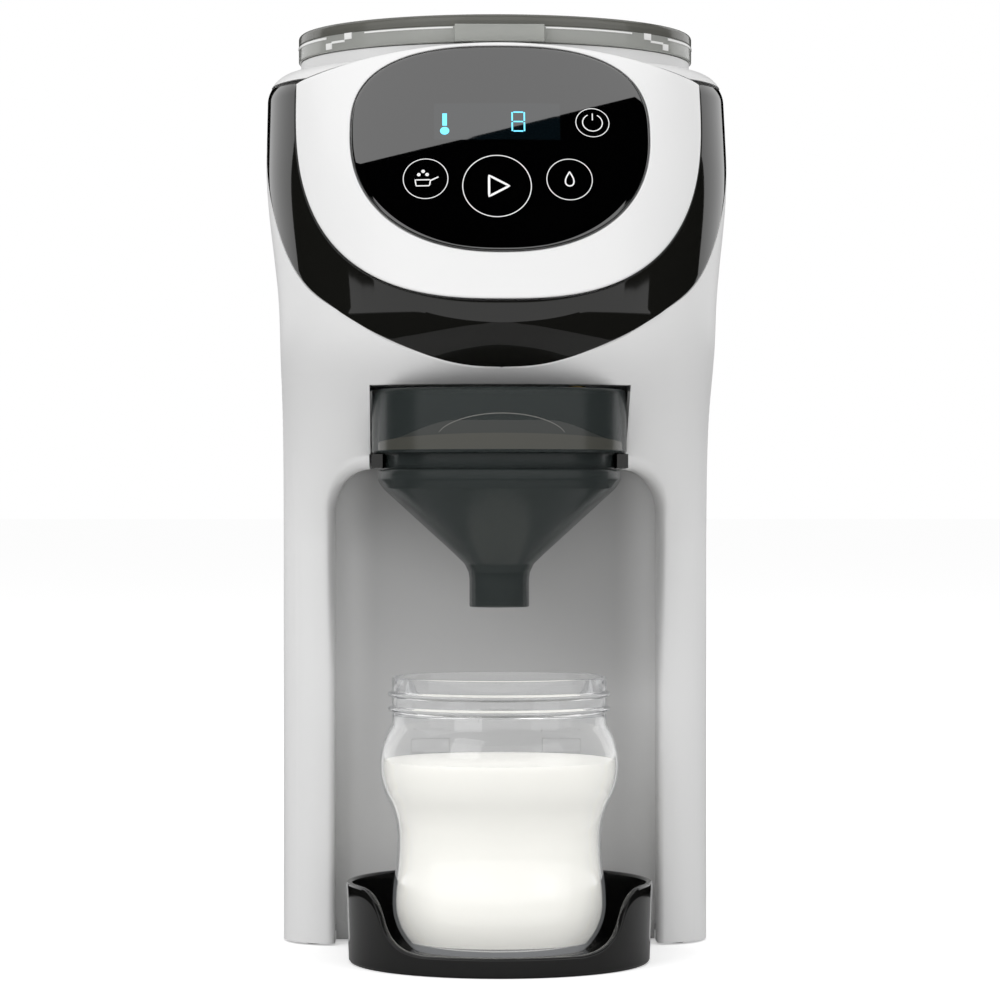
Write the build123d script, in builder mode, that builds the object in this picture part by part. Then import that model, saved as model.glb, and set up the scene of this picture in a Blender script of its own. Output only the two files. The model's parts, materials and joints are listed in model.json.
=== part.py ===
from build123d import *
import os
from math import asin, atan2, cos, degrees, pi, radians, sin, sqrt

# Baby formula maker: +Z up, the front faces -Y, X = 0 is the plane of symmetry.
# Millimetres.  The origin is on the table under the middle of the machine.

# ---------------------------------------------------------------- driving dimensions
DECK_Z = 302.5            # flat top of the body, which carries the powder container
BODY_Z = 3.5              # lower edge of the body, held off the table by the feet
COLUMN_HALF = 74.2        # half width of the column and its two legs
HEAD_HALF = 79.5          # half width of the head at its widest
COLUMN_Y = -62.0          # front of the legs
REAR_Y = 100.0            # rear wall of the column
SHELF_Y = 153.0           # rear end of the shelf that carries the water tank
SHELF_Z = 26.0            # top of that shelf
SHELF_R = 22.0            # its rear corners
WALL = 2.8                # moulded wall of the body
GAP = 0.3                 # assembly gap between separate pieces
RUN = 0.05                # radial running clearance of a shaft in its bore

SWOOP_Z = 140.0           # height where the legs start to curve forward
CHIN_Z = 216.0            # height of the chin, the foremost line of the head
FACE_R = 260.0            # lean of the head's face: a circle in side view
FACE_Y = 104.3            # its centre
FACE_Z = 157.3
PLAN_Y = HEAD_HALF - 99.5  # centre of the face's curve in plan, further back in a wider head
LEG_R = 20.0              # plan corner of the legs
HEAD_R = 70.0             # plan corner of the head
REAR_R = 12.0             # plan corner of the rear
DECK_R = 10.0             # rounding between side walls and deck
NOSE_Z = (142.0, 194.0)   # heights between which the leg's plan turns into the head's
FLARE_Z = (211.0, 271.0)  # heights between which the sides widen from column to head

DRINK_Y = -102.0          # axis of tray, bottle and funnel
POWDER_Y = -36.0          # axis of the powder container

# ---------------------------------------------------------------- small helpers


def blend(t):
    """Smooth step from 0 to 1."""
    t = min(max(t, 0.0), 1.0)
    return t * t * (3 - 2 * t)


def front_y(z):
    """Front line of the body in side view."""
    if z >= CHIN_Z:
        return FACE_Y - sqrt(FACE_R**2 - (z - FACE_Z) ** 2)
    return COLUMN_Y + (front_y(CHIN_Z) - COLUMN_Y) * blend((z - SWOOP_Z) / (CHIN_Z - SWOOP_Z))


def plan_face(z, inset):
    """Plan section of the body at height z, moved inwards by inset."""
    grow = blend((z - NOSE_Z[0]) / (NOSE_Z[1] - NOSE_Z[0]))
    flare = blend((z - FLARE_Z[0]) / (FLARE_Z[1] - FLARE_Z[0]))
    half = COLUMN_HALF + (HEAD_HALF - COLUMN_HALF) * flare - inset
    chin_arc = PLAN_Y - front_y(max(z, CHIN_Z))
    arc = 420 + (chin_arc - 420) * grow - inset
    corner = LEG_R + (HEAD_R - LEG_R) * grow - inset
    rear = REAR_R - inset
    back = REAR_Y - inset
    arc_y = front_y(z) + inset + arc
    side = half - corner
    corner_y = arc_y - sqrt((arc - corner) ** 2 - side**2)
    meet_x = side * arc / (arc - corner)
    meet_y = arc_y + (corner_y - arc_y) * arc / (arc - corner)
    half_way = atan2(meet_y - corner_y, meet_x - side) / 2
    mid_x = side + corner * cos(half_way)
    mid_y = corner_y + corner * sin(half_way)
    with BuildSketch(Plane.XY.offset(z)) as section:
        with BuildLine():
            ThreePointArc((-meet_x, meet_y), (0, front_y(z) + inset), (meet_x, meet_y))
            ThreePointArc((meet_x, meet_y), (mid_x, mid_y), (half, corner_y))
            Line((half, corner_y), (half, back - rear))
            RadiusArc((half, back - rear), (half - rear, back), -rear)
            Line((half - rear, back), (rear - half, back))
            RadiusArc((rear - half, back), (-half, back - rear), -rear)
            Line((-half, back - rear), (-half, corner_y))
            ThreePointArc((-half, corner_y), (-mid_x, mid_y), (-meet_x, meet_y))
        make_face()
    return section.sketch.face()


def hull(inset):
    """The whole outer form of column and head, moved inwards by inset."""
    low = SWOOP_Z - 4
    sections = [plan_face(low + 12 * i, inset) for i in range(16)]
    with BuildPart() as form:
        loft(sections=sections)
        extrude(plan_face(BODY_Z, inset), amount=low - BODY_Z)
    return form.part


def closed_form(inset):
    """The same form closed by the deck, its upper edge rounded."""
    top = DECK_Z - inset
    with BuildPart() as form:
        add(hull(inset))
        block((-90, 90), (-200, 200), (top, 340), Mode.SUBTRACT)
        fillet(form.edges().filter_by(lambda e: e.bounding_box().min.Z > top - 0.5), DECK_R - inset)
    return form.part


def block(x, y, z, mode=Mode.ADD):
    """Box between two limits on each axis, inside the open part."""
    with Locations(((x[0] + x[1]) / 2, (y[0] + y[1]) / 2, (z[0] + z[1]) / 2)):
        Box(x[1] - x[0], y[1] - y[0], z[1] - z[0], mode=mode)


def post(x, y, radius, z0, z1, mode=Mode.ADD):
    """Upright cylinder between two heights, inside the open part."""
    with Locations((x, y, (z0 + z1) / 2)):
        Cylinder(radius, z1 - z0, mode=mode)


def spin(y, points):
    """Solid of revolution about the upright axis at (0, y) from a closed (radius, height) outline."""
    with BuildPart() as turned:
        with BuildSketch(Plane.XZ.offset(-y)) as outline:
            with BuildLine():
                Polyline(*points, close=True)
            make_face()
        revolve(axis=Axis((0, y, 0), (0, 0, 1)))
    return turned.part


def save(piece, label):
    piece.part.label = label
    export_step(piece.part, f"parts/{label}.step")


os.makedirs("parts", exist_ok=True)

# ---------------------------------------------------------------- outlines of the head's face
BEZEL_T = 2.4             # wall of band and bezel
BEZEL_HALF = 68.5         # bezel: half width, then its heights
BEZEL_LOW = 219.5
BEZEL_WIDE = 290.0
BEZEL_TOP = 307.0
BEZEL_SIDE = 296.0
PANEL_HALF = 49.5         # touch panel: half width, then its heights
PANEL_LOW = 235.1
PANEL_WIDE = 275.6
PANEL_TOP = 305.3
PANEL_PROUD = 1.5         # how far bezel and panel stand out of the head's form
BEZEL_PROUD = 1.2
LEDGE_W = 12.0            # ledge of the bezel that carries the panel
# rear edge of the band in side view, from under the chin up to its tips (y, z)
BAND_EDGE = [(-136.3, 197.6), (-137.8, 203.0), (-134.0, 211.5), (-119.0, 222.0), (-97.2, 238.4),
             (-81.2, 254.4), (-60.0, 277.0), (-46.0, 297.6)]


def egg(half, low, wide, top, power_low, power_top, grow):
    """Half outline (x >= 0) of a superellipse with unlike upper and lower halves, grown by grow."""
    points = []
    for i in range(13):
        angle = -90 + 15 * i
        power, height = (power_low, wide - low) if angle < 0 else (power_top, top - wide)
        c, s = abs(cos(radians(angle))), abs(sin(radians(angle)))
        x = (half + grow) * c ** (2 / power)
        z = (height + grow) * s ** (2 / power) * (-1 if angle < 0 else 1)
        points.append((0 if i in (0, 12) else x, wide + z))
    return points


def panel_zone(grow):
    """Everything in front of the body inside the panel's outline, grown by grow."""
    half = egg(PANEL_HALF, PANEL_LOW, PANEL_WIDE, PANEL_TOP, 2.25, 2.75, grow)
    with BuildPart() as zone:
        with BuildSketch(Plane.XZ.offset(50)):
            with BuildLine():
                Spline(*half, tangents=[(1, 0), (-1, 0)])
                Spline(*[(-x, z) for x, z in half], tangents=[(-1, 0), (1, 0)])
            make_face()
        extrude(amount=120)
    return zone.part


def bezel_zone(grow):
    """Everything in front of the body inside the bezel's outline, grown by grow."""
    half = BEZEL_HALF + grow
    side = egg(BEZEL_HALF, BEZEL_LOW, BEZEL_WIDE, BEZEL_WIDE + 1, 2.65, 2.65, grow)[:7]
    with BuildPart() as zone:
        with BuildSketch(Plane.XZ.offset(50)):
            with BuildLine():
                Spline(*side, tangents=[(1, 0), (0, 1)])
                Line((half, BEZEL_WIDE), (half, BEZEL_SIDE + grow))
                ThreePointArc((half, BEZEL_SIDE + grow), (0, BEZEL_TOP + grow), (-half, BEZEL_SIDE + grow))
                Line((-half, BEZEL_SIDE + grow), (-half, BEZEL_WIDE))
                Spline(*[(-x, z) for x, z in side], tangents=[(-1, 0), (0, 1)])
            make_face()
        extrude(amount=120)
    return zone.part


def band_zone(shift):
    """Everything in front of the band's rear edge, which is moved backwards by shift."""
    edge = [(y + shift, z) for y, z in BAND_EDGE]
    first, last = edge[0], edge[-1]
    with BuildPart() as zone:
        with BuildSketch(Plane.YZ):
            with BuildLine():
                Spline(*edge)
                Polyline(last, (-180, last[1]), (-180, first[1]), first)
            make_face()
        extrude(amount=HEAD_HALF + 10, both=True)
    return zone.part


FORM = closed_form(0)
FORM_BEZEL = hull(BEZEL_T)
FORM_SEAT = hull(BEZEL_T + GAP)

# ---------------------------------------------------------------- bays in the body
ALCOVE_Y = -44.0          # rear wall of the bottle alcove
ALCOVE_HALF = 56.0        # its half width at the rear and at the mouth
ALCOVE_MOUTH = 64.0
ALCOVE_TOP = 170.0
BAY_TOP = 192.5           # ceiling of the funnel bay
COLLAR_R = 42.7           # outer radius of the funnel's collar
BAY_HALF = COLLAR_R + 2 * GAP
FUNNEL_BACK = 43.0        # from the funnel's axis back to its rear wall
BAY_Y = DRINK_Y + FUNNEL_BACK + 2 * GAP
JAR_R = 64.0              # powder container: outer radius, wall, floor
JAR_T = 2.0
WELL_R = JAR_R + 0.5
WELL_Z = 233.5            # floor of the well that holds it
CHUTE_Y = POWDER_Y - 50.0  # powder outlet
CHUTE_R = 11.0
CHUTE_T = 1.5
NOZZLE = (26.0, -104.0)   # water outlet in the bay's ceiling
SLOT_ROWS = (17.0, 43.0, 69.0)  # heights of the tray's slots in the alcove wall
SLOT_X = 24.0
PEG = (14.0, 5.0)         # width and height of a tray peg
SOCKET = (0.0, 127.0)     # docking socket of the water tank
SOCKET_R = 14.0
GLAND = (50.0, 15.0)      # cord gland: x and z, in the shelf's rear face
GLAND_R = 7.0
BASE_SCREWS = [(-66.5, 0), (66.5, 0), (-66.5, 90), (66.5, 90), (-30, 145), (30, 145)]
COVER_T = 2.5             # base cover
FLOOR_Z = BODY_Z + COVER_T


def alcove(grow):
    """Bottle alcove between the legs: soft flared mouth, rounded rear corners and arched top."""
    rear, top = ALCOVE_Y + grow, ALCOVE_TOP + grow
    inner, mouth = ALCOVE_HALF + grow, ALCOVE_MOUTH + grow
    with BuildPart() as space:
        with BuildSketch(Plane.XY.offset(-1)):
            with BuildLine():
                Polyline((-inner, rear), (inner, rear), (inner, rear - 9))
                RadiusArc((inner, rear - 9), (mouth, COLUMN_Y - 1), 14)
                Polyline((mouth, COLUMN_Y - 1), (mouth, -180), (-mouth, -180), (-mouth, COLUMN_Y - 1))
                RadiusArc((-mouth, COLUMN_Y - 1), (-inner, rear - 9), 14)
                Line((-inner, rear - 9), (-inner, rear))
            make_face()
        extrude(amount=top + 1)
        with BuildSketch(Plane.XZ) as keep:
            with Locations((0, top / 2 - 10)):
                RectangleRounded(2 * mouth, top + 20, 20)
        extrude(keep.sketch, amount=200, mode=Mode.INTERSECT)
    return space.part


def shelf(inset, top):
    """Shelf behind the column, moved inwards by inset, up to a given height."""
    with BuildPart() as solid:
        with BuildSketch(Plane.XY.offset(BODY_Z)):
            with BuildLine():
                half, end, corner = COLUMN_HALF - inset, SHELF_Y - inset, SHELF_R - inset
                Polyline((half - 0.01, 60), (half - 0.01, end - corner))
                RadiusArc((half - 0.01, end - corner), (half - corner, end), -corner)
                Line((half - corner, end), (corner - half, end))
                RadiusArc((corner - half, end), (0.01 - half, end - corner), -corner)
                Polyline((0.01 - half, end - corner), (0.01 - half, 60), (half - 0.01, 60))
            make_face()
        extrude(amount=top - BODY_Z)
    return solid.part


def body_cavity():
    """Hollow inside of column and head, with a thicker wall behind band and bezel."""
    front_wall = band_zone(3) + bezel_zone(3) - hull(2 * WALL)
    with BuildPart() as space:
        add(closed_form(WALL))
        add(shelf(WALL, SHELF_Z - WALL))
        add(front_wall, mode=Mode.SUBTRACT)
    return space.part


WINDOW_HALF = 46.0        # window of the body behind the touch panel
WINDOW_Z = (236.0, 294.5)
BEARING_R = 10.0          # seat of the drive bearing in the well's floor
HEAD_Z = 196.4            # joint between column shell and head shell

CAVITY = body_cavity()
FACE_ZONE = band_zone(GAP) + bezel_zone(GAP) - FORM_SEAT
ALCOVE = alcove(0)
SHELF = shelf(0, SHELF_Z)
with BuildPart() as head_shell:
    add(FORM)
    block((-90, 90), (-200, 200), (-10, HEAD_Z), Mode.SUBTRACT)
    add(FACE_ZONE, mode=Mode.SUBTRACT)
    add(CAVITY, mode=Mode.SUBTRACT)
    post(0, POWDER_Y, WELL_R, DECK_Z - WALL - 1, 330, Mode.SUBTRACT)
    block((-WINDOW_HALF, WINDOW_HALF), (-200, POWDER_Y - WELL_R - WALL), WINDOW_Z, Mode.SUBTRACT)
save(head_shell, "head_shell")

with BuildPart() as body_shell:
    add(FORM)
    block((-90, 90), (-200, 200), (HEAD_Z, 340), Mode.SUBTRACT)
    add(SHELF)
    add(CAVITY, mode=Mode.SUBTRACT)
    block((-90, 90), (-200, 200), (-10, BODY_Z), Mode.SUBTRACT)
    add(ALCOVE, mode=Mode.SUBTRACT)
    block((-BAY_HALF, BAY_HALF), (-200, BAY_Y), (150, BAY_TOP), Mode.SUBTRACT)
    post(*SOCKET, SOCKET_R + GAP, SHELF_Z - 5, SHELF_Z + 1, Mode.SUBTRACT)
    with Locations(Location((GLAND[0], SHELF_Y - 5, GLAND[1]), (90, 0, 0))):
        Cylinder(GLAND_R + GAP, 20, mode=Mode.SUBTRACT)
    for x, y in BASE_SCREWS:
        post(x, y, 5.5, FLOOR_Z, FLOOR_Z + 13)
        post(x, y, 1.55, FLOOR_Z - 1, FLOOR_Z + 10, Mode.SUBTRACT)
save(body_shell, "body_shell")

LINER_SKIN = hull(WALL + RUN)
LINER = alcove(WALL)
with BuildPart() as alcove_liner:
    add(LINER)
    block((-BAY_HALF - WALL, BAY_HALF + WALL), (-150, BAY_Y + WALL), (160, BAY_TOP + WALL))
    add(LINER_SKIN, mode=Mode.INTERSECT)
    block((-90, 90), (-200, 200), (-10, FLOOR_Z), Mode.SUBTRACT)
    add(ALCOVE, mode=Mode.SUBTRACT)
    block((-BAY_HALF, BAY_HALF), (-200, BAY_Y), (150, BAY_TOP), Mode.SUBTRACT)
    post(0, CHUTE_Y, CHUTE_R + CHUTE_T + GAP, BAY_TOP - 1, BAY_TOP + WALL + 1, Mode.SUBTRACT)
    post(*NOZZLE, 3.3, BAY_TOP - 1, BAY_TOP + WALL + 1, Mode.SUBTRACT)
    for z in SLOT_ROWS:
        for x in (-SLOT_X, SLOT_X):
            half, high = PEG[0] / 2 + GAP, PEG[1] / 2 + GAP
            block((x - half, x + half), (ALCOVE_Y - 2, ALCOVE_Y + 6), (z - high, z + high), Mode.SUBTRACT)
save(alcove_liner, "alcove_liner")

with BuildPart() as powder_well:
    post(0, POWDER_Y, WELL_R + WALL, WELL_Z - WALL, DECK_Z - WALL)
    post(0, POWDER_Y, WELL_R, WELL_Z, DECK_Z, Mode.SUBTRACT)
    post(0, POWDER_Y, BEARING_R, WELL_Z - 10, WELL_Z + 1, Mode.SUBTRACT)
    post(0, CHUTE_Y, CHUTE_R + CHUTE_T + GAP, WELL_Z - 10, WELL_Z + 1, Mode.SUBTRACT)
save(powder_well, "powder_well")

# ---------------------------------------------------------------- head: band, bezel, panel
BAND = band_zone(0) - bezel_zone(GAP)
with BuildPart() as accent_band:
    add(FORM)
    add(FORM_BEZEL, mode=Mode.SUBTRACT)
    add(BAND, mode=Mode.INTERSECT)
save(accent_band, "accent_band")

# plane on the head's face behind the panel: local X across, local Y up the face, +Z outwards
FACE_MID_Z = 268.0
LEAN = atan2(FACE_MID_Z - FACE_Z, FACE_Y - front_y(FACE_MID_Z))
FACE = Plane(origin=(0, front_y(FACE_MID_Z), FACE_MID_Z), x_dir=(1, 0, 0), z_dir=(0, -cos(LEAN), sin(LEAN)))
BOSSES = [(-37.5, 12), (37.5, 12), (-33, -19), (33, -19)]
BOARD_D = 14.0            # depth of the control board behind the face
BOARD_T = 1.6

BEZEL_ZONE = bezel_zone(0)
LEDGE = hull(0.9)
PANEL_CUT = panel_zone(GAP) - LEDGE
PANEL_HOLE = panel_zone(-LEDGE_W)
FORM_PROUD = hull(-BEZEL_PROUD)
with BuildPart() as boss_set:
    with BuildSketch(FACE.offset(-BOARD_D)):
        with Locations(*BOSSES):
            Circle(3.2)
    extrude(amount=BOARD_D)
    add(LEDGE, mode=Mode.INTERSECT)
with BuildPart() as boss_holes:
    with BuildSketch(FACE.offset(-BOARD_D)):
        with Locations(*BOSSES):
            Circle(1.05)
    extrude(amount=3.4)
with BuildPart() as panel_bezel:
    add(FORM_PROUD)
    add(FORM_BEZEL, mode=Mode.SUBTRACT)
    add(BEZEL_ZONE, mode=Mode.INTERSECT)
    add(PANEL_CUT, mode=Mode.SUBTRACT)
    add(PANEL_HOLE, mode=Mode.SUBTRACT)
    add(boss_set.part)
    add(boss_holes.part, mode=Mode.SUBTRACT)
save(panel_bezel, "panel_bezel")

PANEL_OUT = hull(-PANEL_PROUD)
PANEL_IN = hull(0.9 - GAP)
PANEL_ZONE = panel_zone(0)
with BuildPart() as control_panel:
    add(PANEL_OUT)
    add(PANEL_IN, mode=Mode.SUBTRACT)
    add(PANEL_ZONE, mode=Mode.INTERSECT)
save(control_panel, "control_panel")

with BuildPart() as control_board:
    with BuildSketch(FACE.offset(-BOARD_D - BOARD_T)):
        RectangleRounded(82, 48, 4)
        with Locations(*BOSSES):
            Circle(1.3, mode=Mode.SUBTRACT)
    extrude(amount=BOARD_T)
    with BuildSketch(FACE.offset(-BOARD_D - BOARD_T)):
        with Locations((-8, -6), (20, 4)):
            Rectangle(9, 9)
    extrude(amount=-1.4)
save(control_board, "control_board")

with BuildPart() as display_module:
    with BuildSketch(FACE.offset(-BOARD_D + GAP)):
        with Locations((0, 10)):
            Rectangle(46, 17)
    extrude(amount=7.5)
save(display_module, "display_module")

with BuildPart() as panel_screws:
    with BuildSketch(FACE.offset(-BOARD_D - BOARD_T)):
        with Locations(*BOSSES):
            Circle(2.3)
    extrude(amount=-1.6)
    with BuildSketch(FACE.offset(-BOARD_D - BOARD_T)):
        with Locations(*BOSSES):
            Circle(1.0)
    extrude(amount=BOARD_T + 3)
save(panel_screws, "panel_screws")

# ---------------------------------------------------------------- base
FOOT_R = 6.0
FEET = [(-64.5, -51), (64.5, -51), (-60, 136), (60, 136)]

with BuildPart() as base_cover:
    extrude(plan_face(BODY_Z, WALL + GAP), amount=COVER_T)
    add(shelf(WALL + GAP, BODY_Z + COVER_T))
    add(alcove(WALL + GAP), mode=Mode.SUBTRACT)
    with Locations(*[(x, y, BODY_Z) for x, y in BASE_SCREWS]):
        Cylinder(1.7, 10, mode=Mode.SUBTRACT)
save(base_cover, "base_cover")

with BuildPart() as feet:
    for x, y in FEET:
        post(x, y, FOOT_R, 0, BODY_Z)
    chamfer(feet.edges().group_by(Axis.Z)[0], 0.8)
save(feet, "feet")

with BuildPart() as base_screws:
    for x, y in BASE_SCREWS:
        post(x, y, 3.0, BODY_Z - 1.6, BODY_Z)
        post(x, y, 1.5, BODY_Z - 1, BODY_Z + 9)
save(base_screws, "base_screws")

# ---------------------------------------------------------------- powder container
JAR_FLOOR = (WELL_Z + GAP, WELL_Z + 3.1)
COLLAR_Z = (DECK_Z + GAP, 307.3)
COLLAR_OUT = 68.2
HUB_NECK = 8.0
HINGE_Z = 310.5
HINGE_Y = POWDER_Y + 70.6
PIN_R = 1.5
KNUCKLE_R = 2.9
EARS = (-12.5, 12.5)      # middles of the collar's two hinge ears
EAR_R = 3.0

with BuildPart() as powder_container:
    add(spin(POWDER_Y, [(0, JAR_FLOOR[0]), (JAR_R, JAR_FLOOR[0]), (JAR_R, 307.0), (JAR_R - JAR_T, 307.0),
                        (JAR_R - JAR_T, JAR_FLOOR[1]), (0, JAR_FLOOR[1])]))
    post(0, POWDER_Y, HUB_NECK, WELL_Z - 1, WELL_Z + 6, Mode.SUBTRACT)
    post(0, CHUTE_Y, CHUTE_R - 1, WELL_Z - 1, WELL_Z + 6, Mode.SUBTRACT)
save(powder_container, "powder_container")

with BuildPart() as container_collar:
    post(0, POWDER_Y, COLLAR_OUT, *COLLAR_Z)
    for x in EARS:
        block((x - 2.5, x + 2.5), (HINGE_Y - 12, HINGE_Y + EAR_R), COLLAR_Z)
        block((x - 2.5, x + 2.5), (HINGE_Y - EAR_R, HINGE_Y + EAR_R), (COLLAR_Z[0], HINGE_Z))
        with Locations(Location((x, HINGE_Y, HINGE_Z), (0, 90, 0))):
            Cylinder(EAR_R, 5)
    post(0, POWDER_Y, JAR_R + RUN, 300, 309, Mode.SUBTRACT)
    with Locations(Location((0, HINGE_Y, HINGE_Z), (0, 90, 0))):
        Cylinder(PIN_R + RUN, 60, mode=Mode.SUBTRACT)
save(container_collar, "container_collar")

with BuildPart() as lid_pin:
    with Locations(Location((0, HINGE_Y, HINGE_Z), (0, 90, 0))):
        Cylinder(PIN_R, 30)
save(lid_pin, "lid_pin")

LID_R = 69.0
LID_Z = (COLLAR_Z[1] + GAP, 317.0)
LID_SINK = 4.0            # the lid's disc lies this far below its rim
LID_DISC = LID_Z[1] - LID_SINK
TAB_HALF = 15.0           # half width of the lid's finger tab
with BuildPart() as powder_lid:
    add(spin(POWDER_Y, [(0, LID_DISC), (LID_R - 1.8, LID_DISC), (LID_R - 1.8, LID_Z[0]), (LID_R, LID_Z[0]),
                        (LID_R, LID_Z[1] - 1), (LID_R - 1, LID_Z[1]), (LID_R - 3, LID_Z[1]),
                        (LID_R - 4, LID_Z[1] - 1), (LID_R - 4, LID_DISC + 2.2), (0, LID_DISC + 2.2)]))
    tab_y = POWDER_Y - LID_R
    block((-TAB_HALF, TAB_HALF), (tab_y - 2.2, tab_y + 2.6), (LID_Z[0], LID_DISC + 0.5))
    block((-TAB_HALF, TAB_HALF), (tab_y + 1.8, tab_y + 3), (LID_Z[0] - 1, LID_DISC - 0.5), Mode.SUBTRACT)
    block((-9.5, 9.5), (HINGE_Y - 3.2, HINGE_Y), (LID_Z[0], HINGE_Z + KNUCKLE_R))
    with Locations(Location((0, HINGE_Y, HINGE_Z), (0, 90, 0))):
        Cylinder(KNUCKLE_R, 19)
        Cylinder(PIN_R + RUN, 40, mode=Mode.SUBTRACT)
    for x in EARS:
        with Locations(Location((x, HINGE_Y, HINGE_Z), (0, 90, 0))):
            Cylinder(EAR_R + 0.5, 5 + 2 * GAP, mode=Mode.SUBTRACT)
        block((x - 2.5 - GAP, x + 2.5 + GAP), (HINGE_Y - EAR_R - 0.5, HINGE_Y), (LID_Z[0] - 1, HINGE_Z),
              Mode.SUBTRACT)
save(powder_lid, "powder_lid")

with BuildPart() as lid_seal:
    seal_out, seal_in, seal_low = JAR_R - JAR_T - GAP, JAR_R - JAR_T - 2.5, 304.5
    add(spin(POWDER_Y, [(seal_in, seal_low), (seal_out, seal_low), (seal_out, LID_DISC), (seal_in, LID_DISC)]))
save(lid_seal, "lid_seal")

# dosing wheel: six arms, an outer ring and two upright scrapers that keep the powder loose
WHEEL_Z = (JAR_FLOOR[1] + GAP, JAR_FLOOR[1] + 7.5)
HEX_AF = 8.0              # hexagonal drive, across flats
HUB_TOP = 262.0
SCRAPER_X = 46.0          # two upright scrapers: distance from the axis, lower and upper end
SCRAPER_Z = (249.5, 290.0)
with BuildPart() as stirring_wheel:
    post(0, POWDER_Y, 61.2, *WHEEL_Z)
    post(0, POWDER_Y, 59.2, WHEEL_Z[0] - 1, WHEEL_Z[1] + 1, Mode.SUBTRACT)
    for angle in range(0, 360, 60):
        with Locations(Location((0, POWDER_Y, sum(WHEEL_Z) / 2), (0, 0, angle + 30))):
            with Locations((35, 0, 0)):
                Box(50, 4, WHEEL_Z[1] - WHEEL_Z[0])
    post(0, POWDER_Y, 13, *WHEEL_Z)
    post(0, POWDER_Y, HUB_NECK - RUN, JAR_FLOOR[0] + 0.2, HUB_TOP)
    with Locations(Location((0, POWDER_Y, 0), (0, 0, 30))):
        with Locations((0, 0, SCRAPER_Z[0] + 1.5)):
            Box(2 * SCRAPER_X, 4, 3)
        for x in (-SCRAPER_X, SCRAPER_X):
            with Locations((x, 0, sum(SCRAPER_Z) / 2)):
                Box(3, 4, SCRAPER_Z[1] - SCRAPER_Z[0])
    with BuildSketch(Plane.XY.offset(JAR_FLOOR[0] - 1)):
        with Locations((0, POWDER_Y)):
            RegularPolygon(HEX_AF / sqrt(3) + 0.1, 6)
    extrude(amount=14, mode=Mode.SUBTRACT)
save(stirring_wheel, "stirring_wheel")

with BuildPart() as locking_hub:
    post(0, POWDER_Y, 11, HUB_TOP, HUB_TOP + 5)
    post(0, POWDER_Y, 6, HUB_TOP, HUB_TOP + 11)
save(locking_hub, "locking_hub")

# scraper over the outlet, held by the container's wall
with BuildPart() as dosing_cover:
    with BuildSketch(Plane.XY.offset(WHEEL_Z[1] + 0.8)):
        with BuildLine():
            a, b, c = JAR_R - JAR_T - GAP, 16.0, radians(28)
            ThreePointArc((-a * sin(c), -a * cos(c)), (0, -a), (a * sin(c), -a * cos(c)))
            Line((a * sin(c), -a * cos(c)), (b * sin(c), -b * cos(c)))
            ThreePointArc((b * sin(c), -b * cos(c)), (0, -b), (-b * sin(c), -b * cos(c)))
            Line((-b * sin(c), -b * cos(c)), (-a * sin(c), -a * cos(c)))
        make_face()
    extrude(amount=2)
dosing_cover.part.position = (0, POWDER_Y, 0)
save(dosing_cover, "dosing_cover")

# ---------------------------------------------------------------- drive under the well
MODULE = 1.5
GEAR_TEETH = 30
PINION_TEETH = 10
GEAR_Z = (215.0, 222.0)
MOTOR_Y = POWDER_Y + MODULE * (GEAR_TEETH + PINION_TEETH) / 2
PLATE_Z = (210.5, 213.3)
SHAFT_R = 4.0
PINION_SHAFT_R = 2.0


def gear_face(y, z, teeth, first):
    """Plain spur gear outline with trapezoid teeth; first is the direction of one tooth in degrees."""
    pitch = MODULE * teeth / 2
    root, tip = pitch - 1.15 * MODULE, pitch + 0.8 * MODULE
    pitch_half = (pi * MODULE / 4 - 0.12) / pitch
    root_half = pitch_half + 0.42 * MODULE / pitch
    tip_half = pitch_half - 0.36 * MODULE / pitch
    points = []
    for i in range(teeth):
        middle = radians(first) + 2 * pi * i / teeth
        points += [(root, middle - root_half), (tip, middle - tip_half)]
        points += [(tip, middle + tip_half), (root, middle + root_half)]
    with BuildSketch(Plane.XY.offset(z)) as outline:
        with BuildLine():
            Polyline(*[(r * cos(a), y + r * sin(a)) for r, a in points], close=True)
        make_face()
    return outline.sketch


with BuildPart() as drive_gear:
    extrude(gear_face(POWDER_Y, GEAR_Z[0], GEAR_TEETH, 90), amount=GEAR_Z[1] - GEAR_Z[0])
    post(0, POWDER_Y, 9, PLATE_Z[1] + GAP, GEAR_Z[1] + 2)
    post(0, POWDER_Y, SHAFT_R, PLATE_Z[0], GEAR_Z[1] + 5, Mode.SUBTRACT)
save(drive_gear, "drive_gear")

with BuildPart() as drive_shaft:
    post(0, POWDER_Y, SHAFT_R, PLATE_Z[0] - 4, WELL_Z + 0.1)
    with BuildSketch(Plane.XY.offset(WELL_Z + 0.1)):
        with Locations((0, POWDER_Y)):
            RegularPolygon(HEX_AF / sqrt(3), 6)
    extrude(amount=10)
save(drive_shaft, "drive_shaft")

with BuildPart() as drive_bearing:
    post(0, POWDER_Y, BEARING_R - 0.1, WELL_Z - WALL - GAP, WELL_Z - 0.2)
    post(0, POWDER_Y, BEARING_R + 3, WELL_Z - WALL - GAP - 2, WELL_Z - WALL - GAP)
    post(0, POWDER_Y, SHAFT_R + RUN, 200, 250, Mode.SUBTRACT)
save(drive_bearing, "drive_bearing")

with BuildPart() as motor_pinion:
    extrude(gear_face(MOTOR_Y, GEAR_Z[0] - 0.5, PINION_TEETH, -90 + 180 / PINION_TEETH), amount=8)
    post(0, MOTOR_Y, PINION_SHAFT_R, PLATE_Z[0] - 6, GEAR_Z[0])
save(motor_pinion, "motor_pinion")

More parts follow.
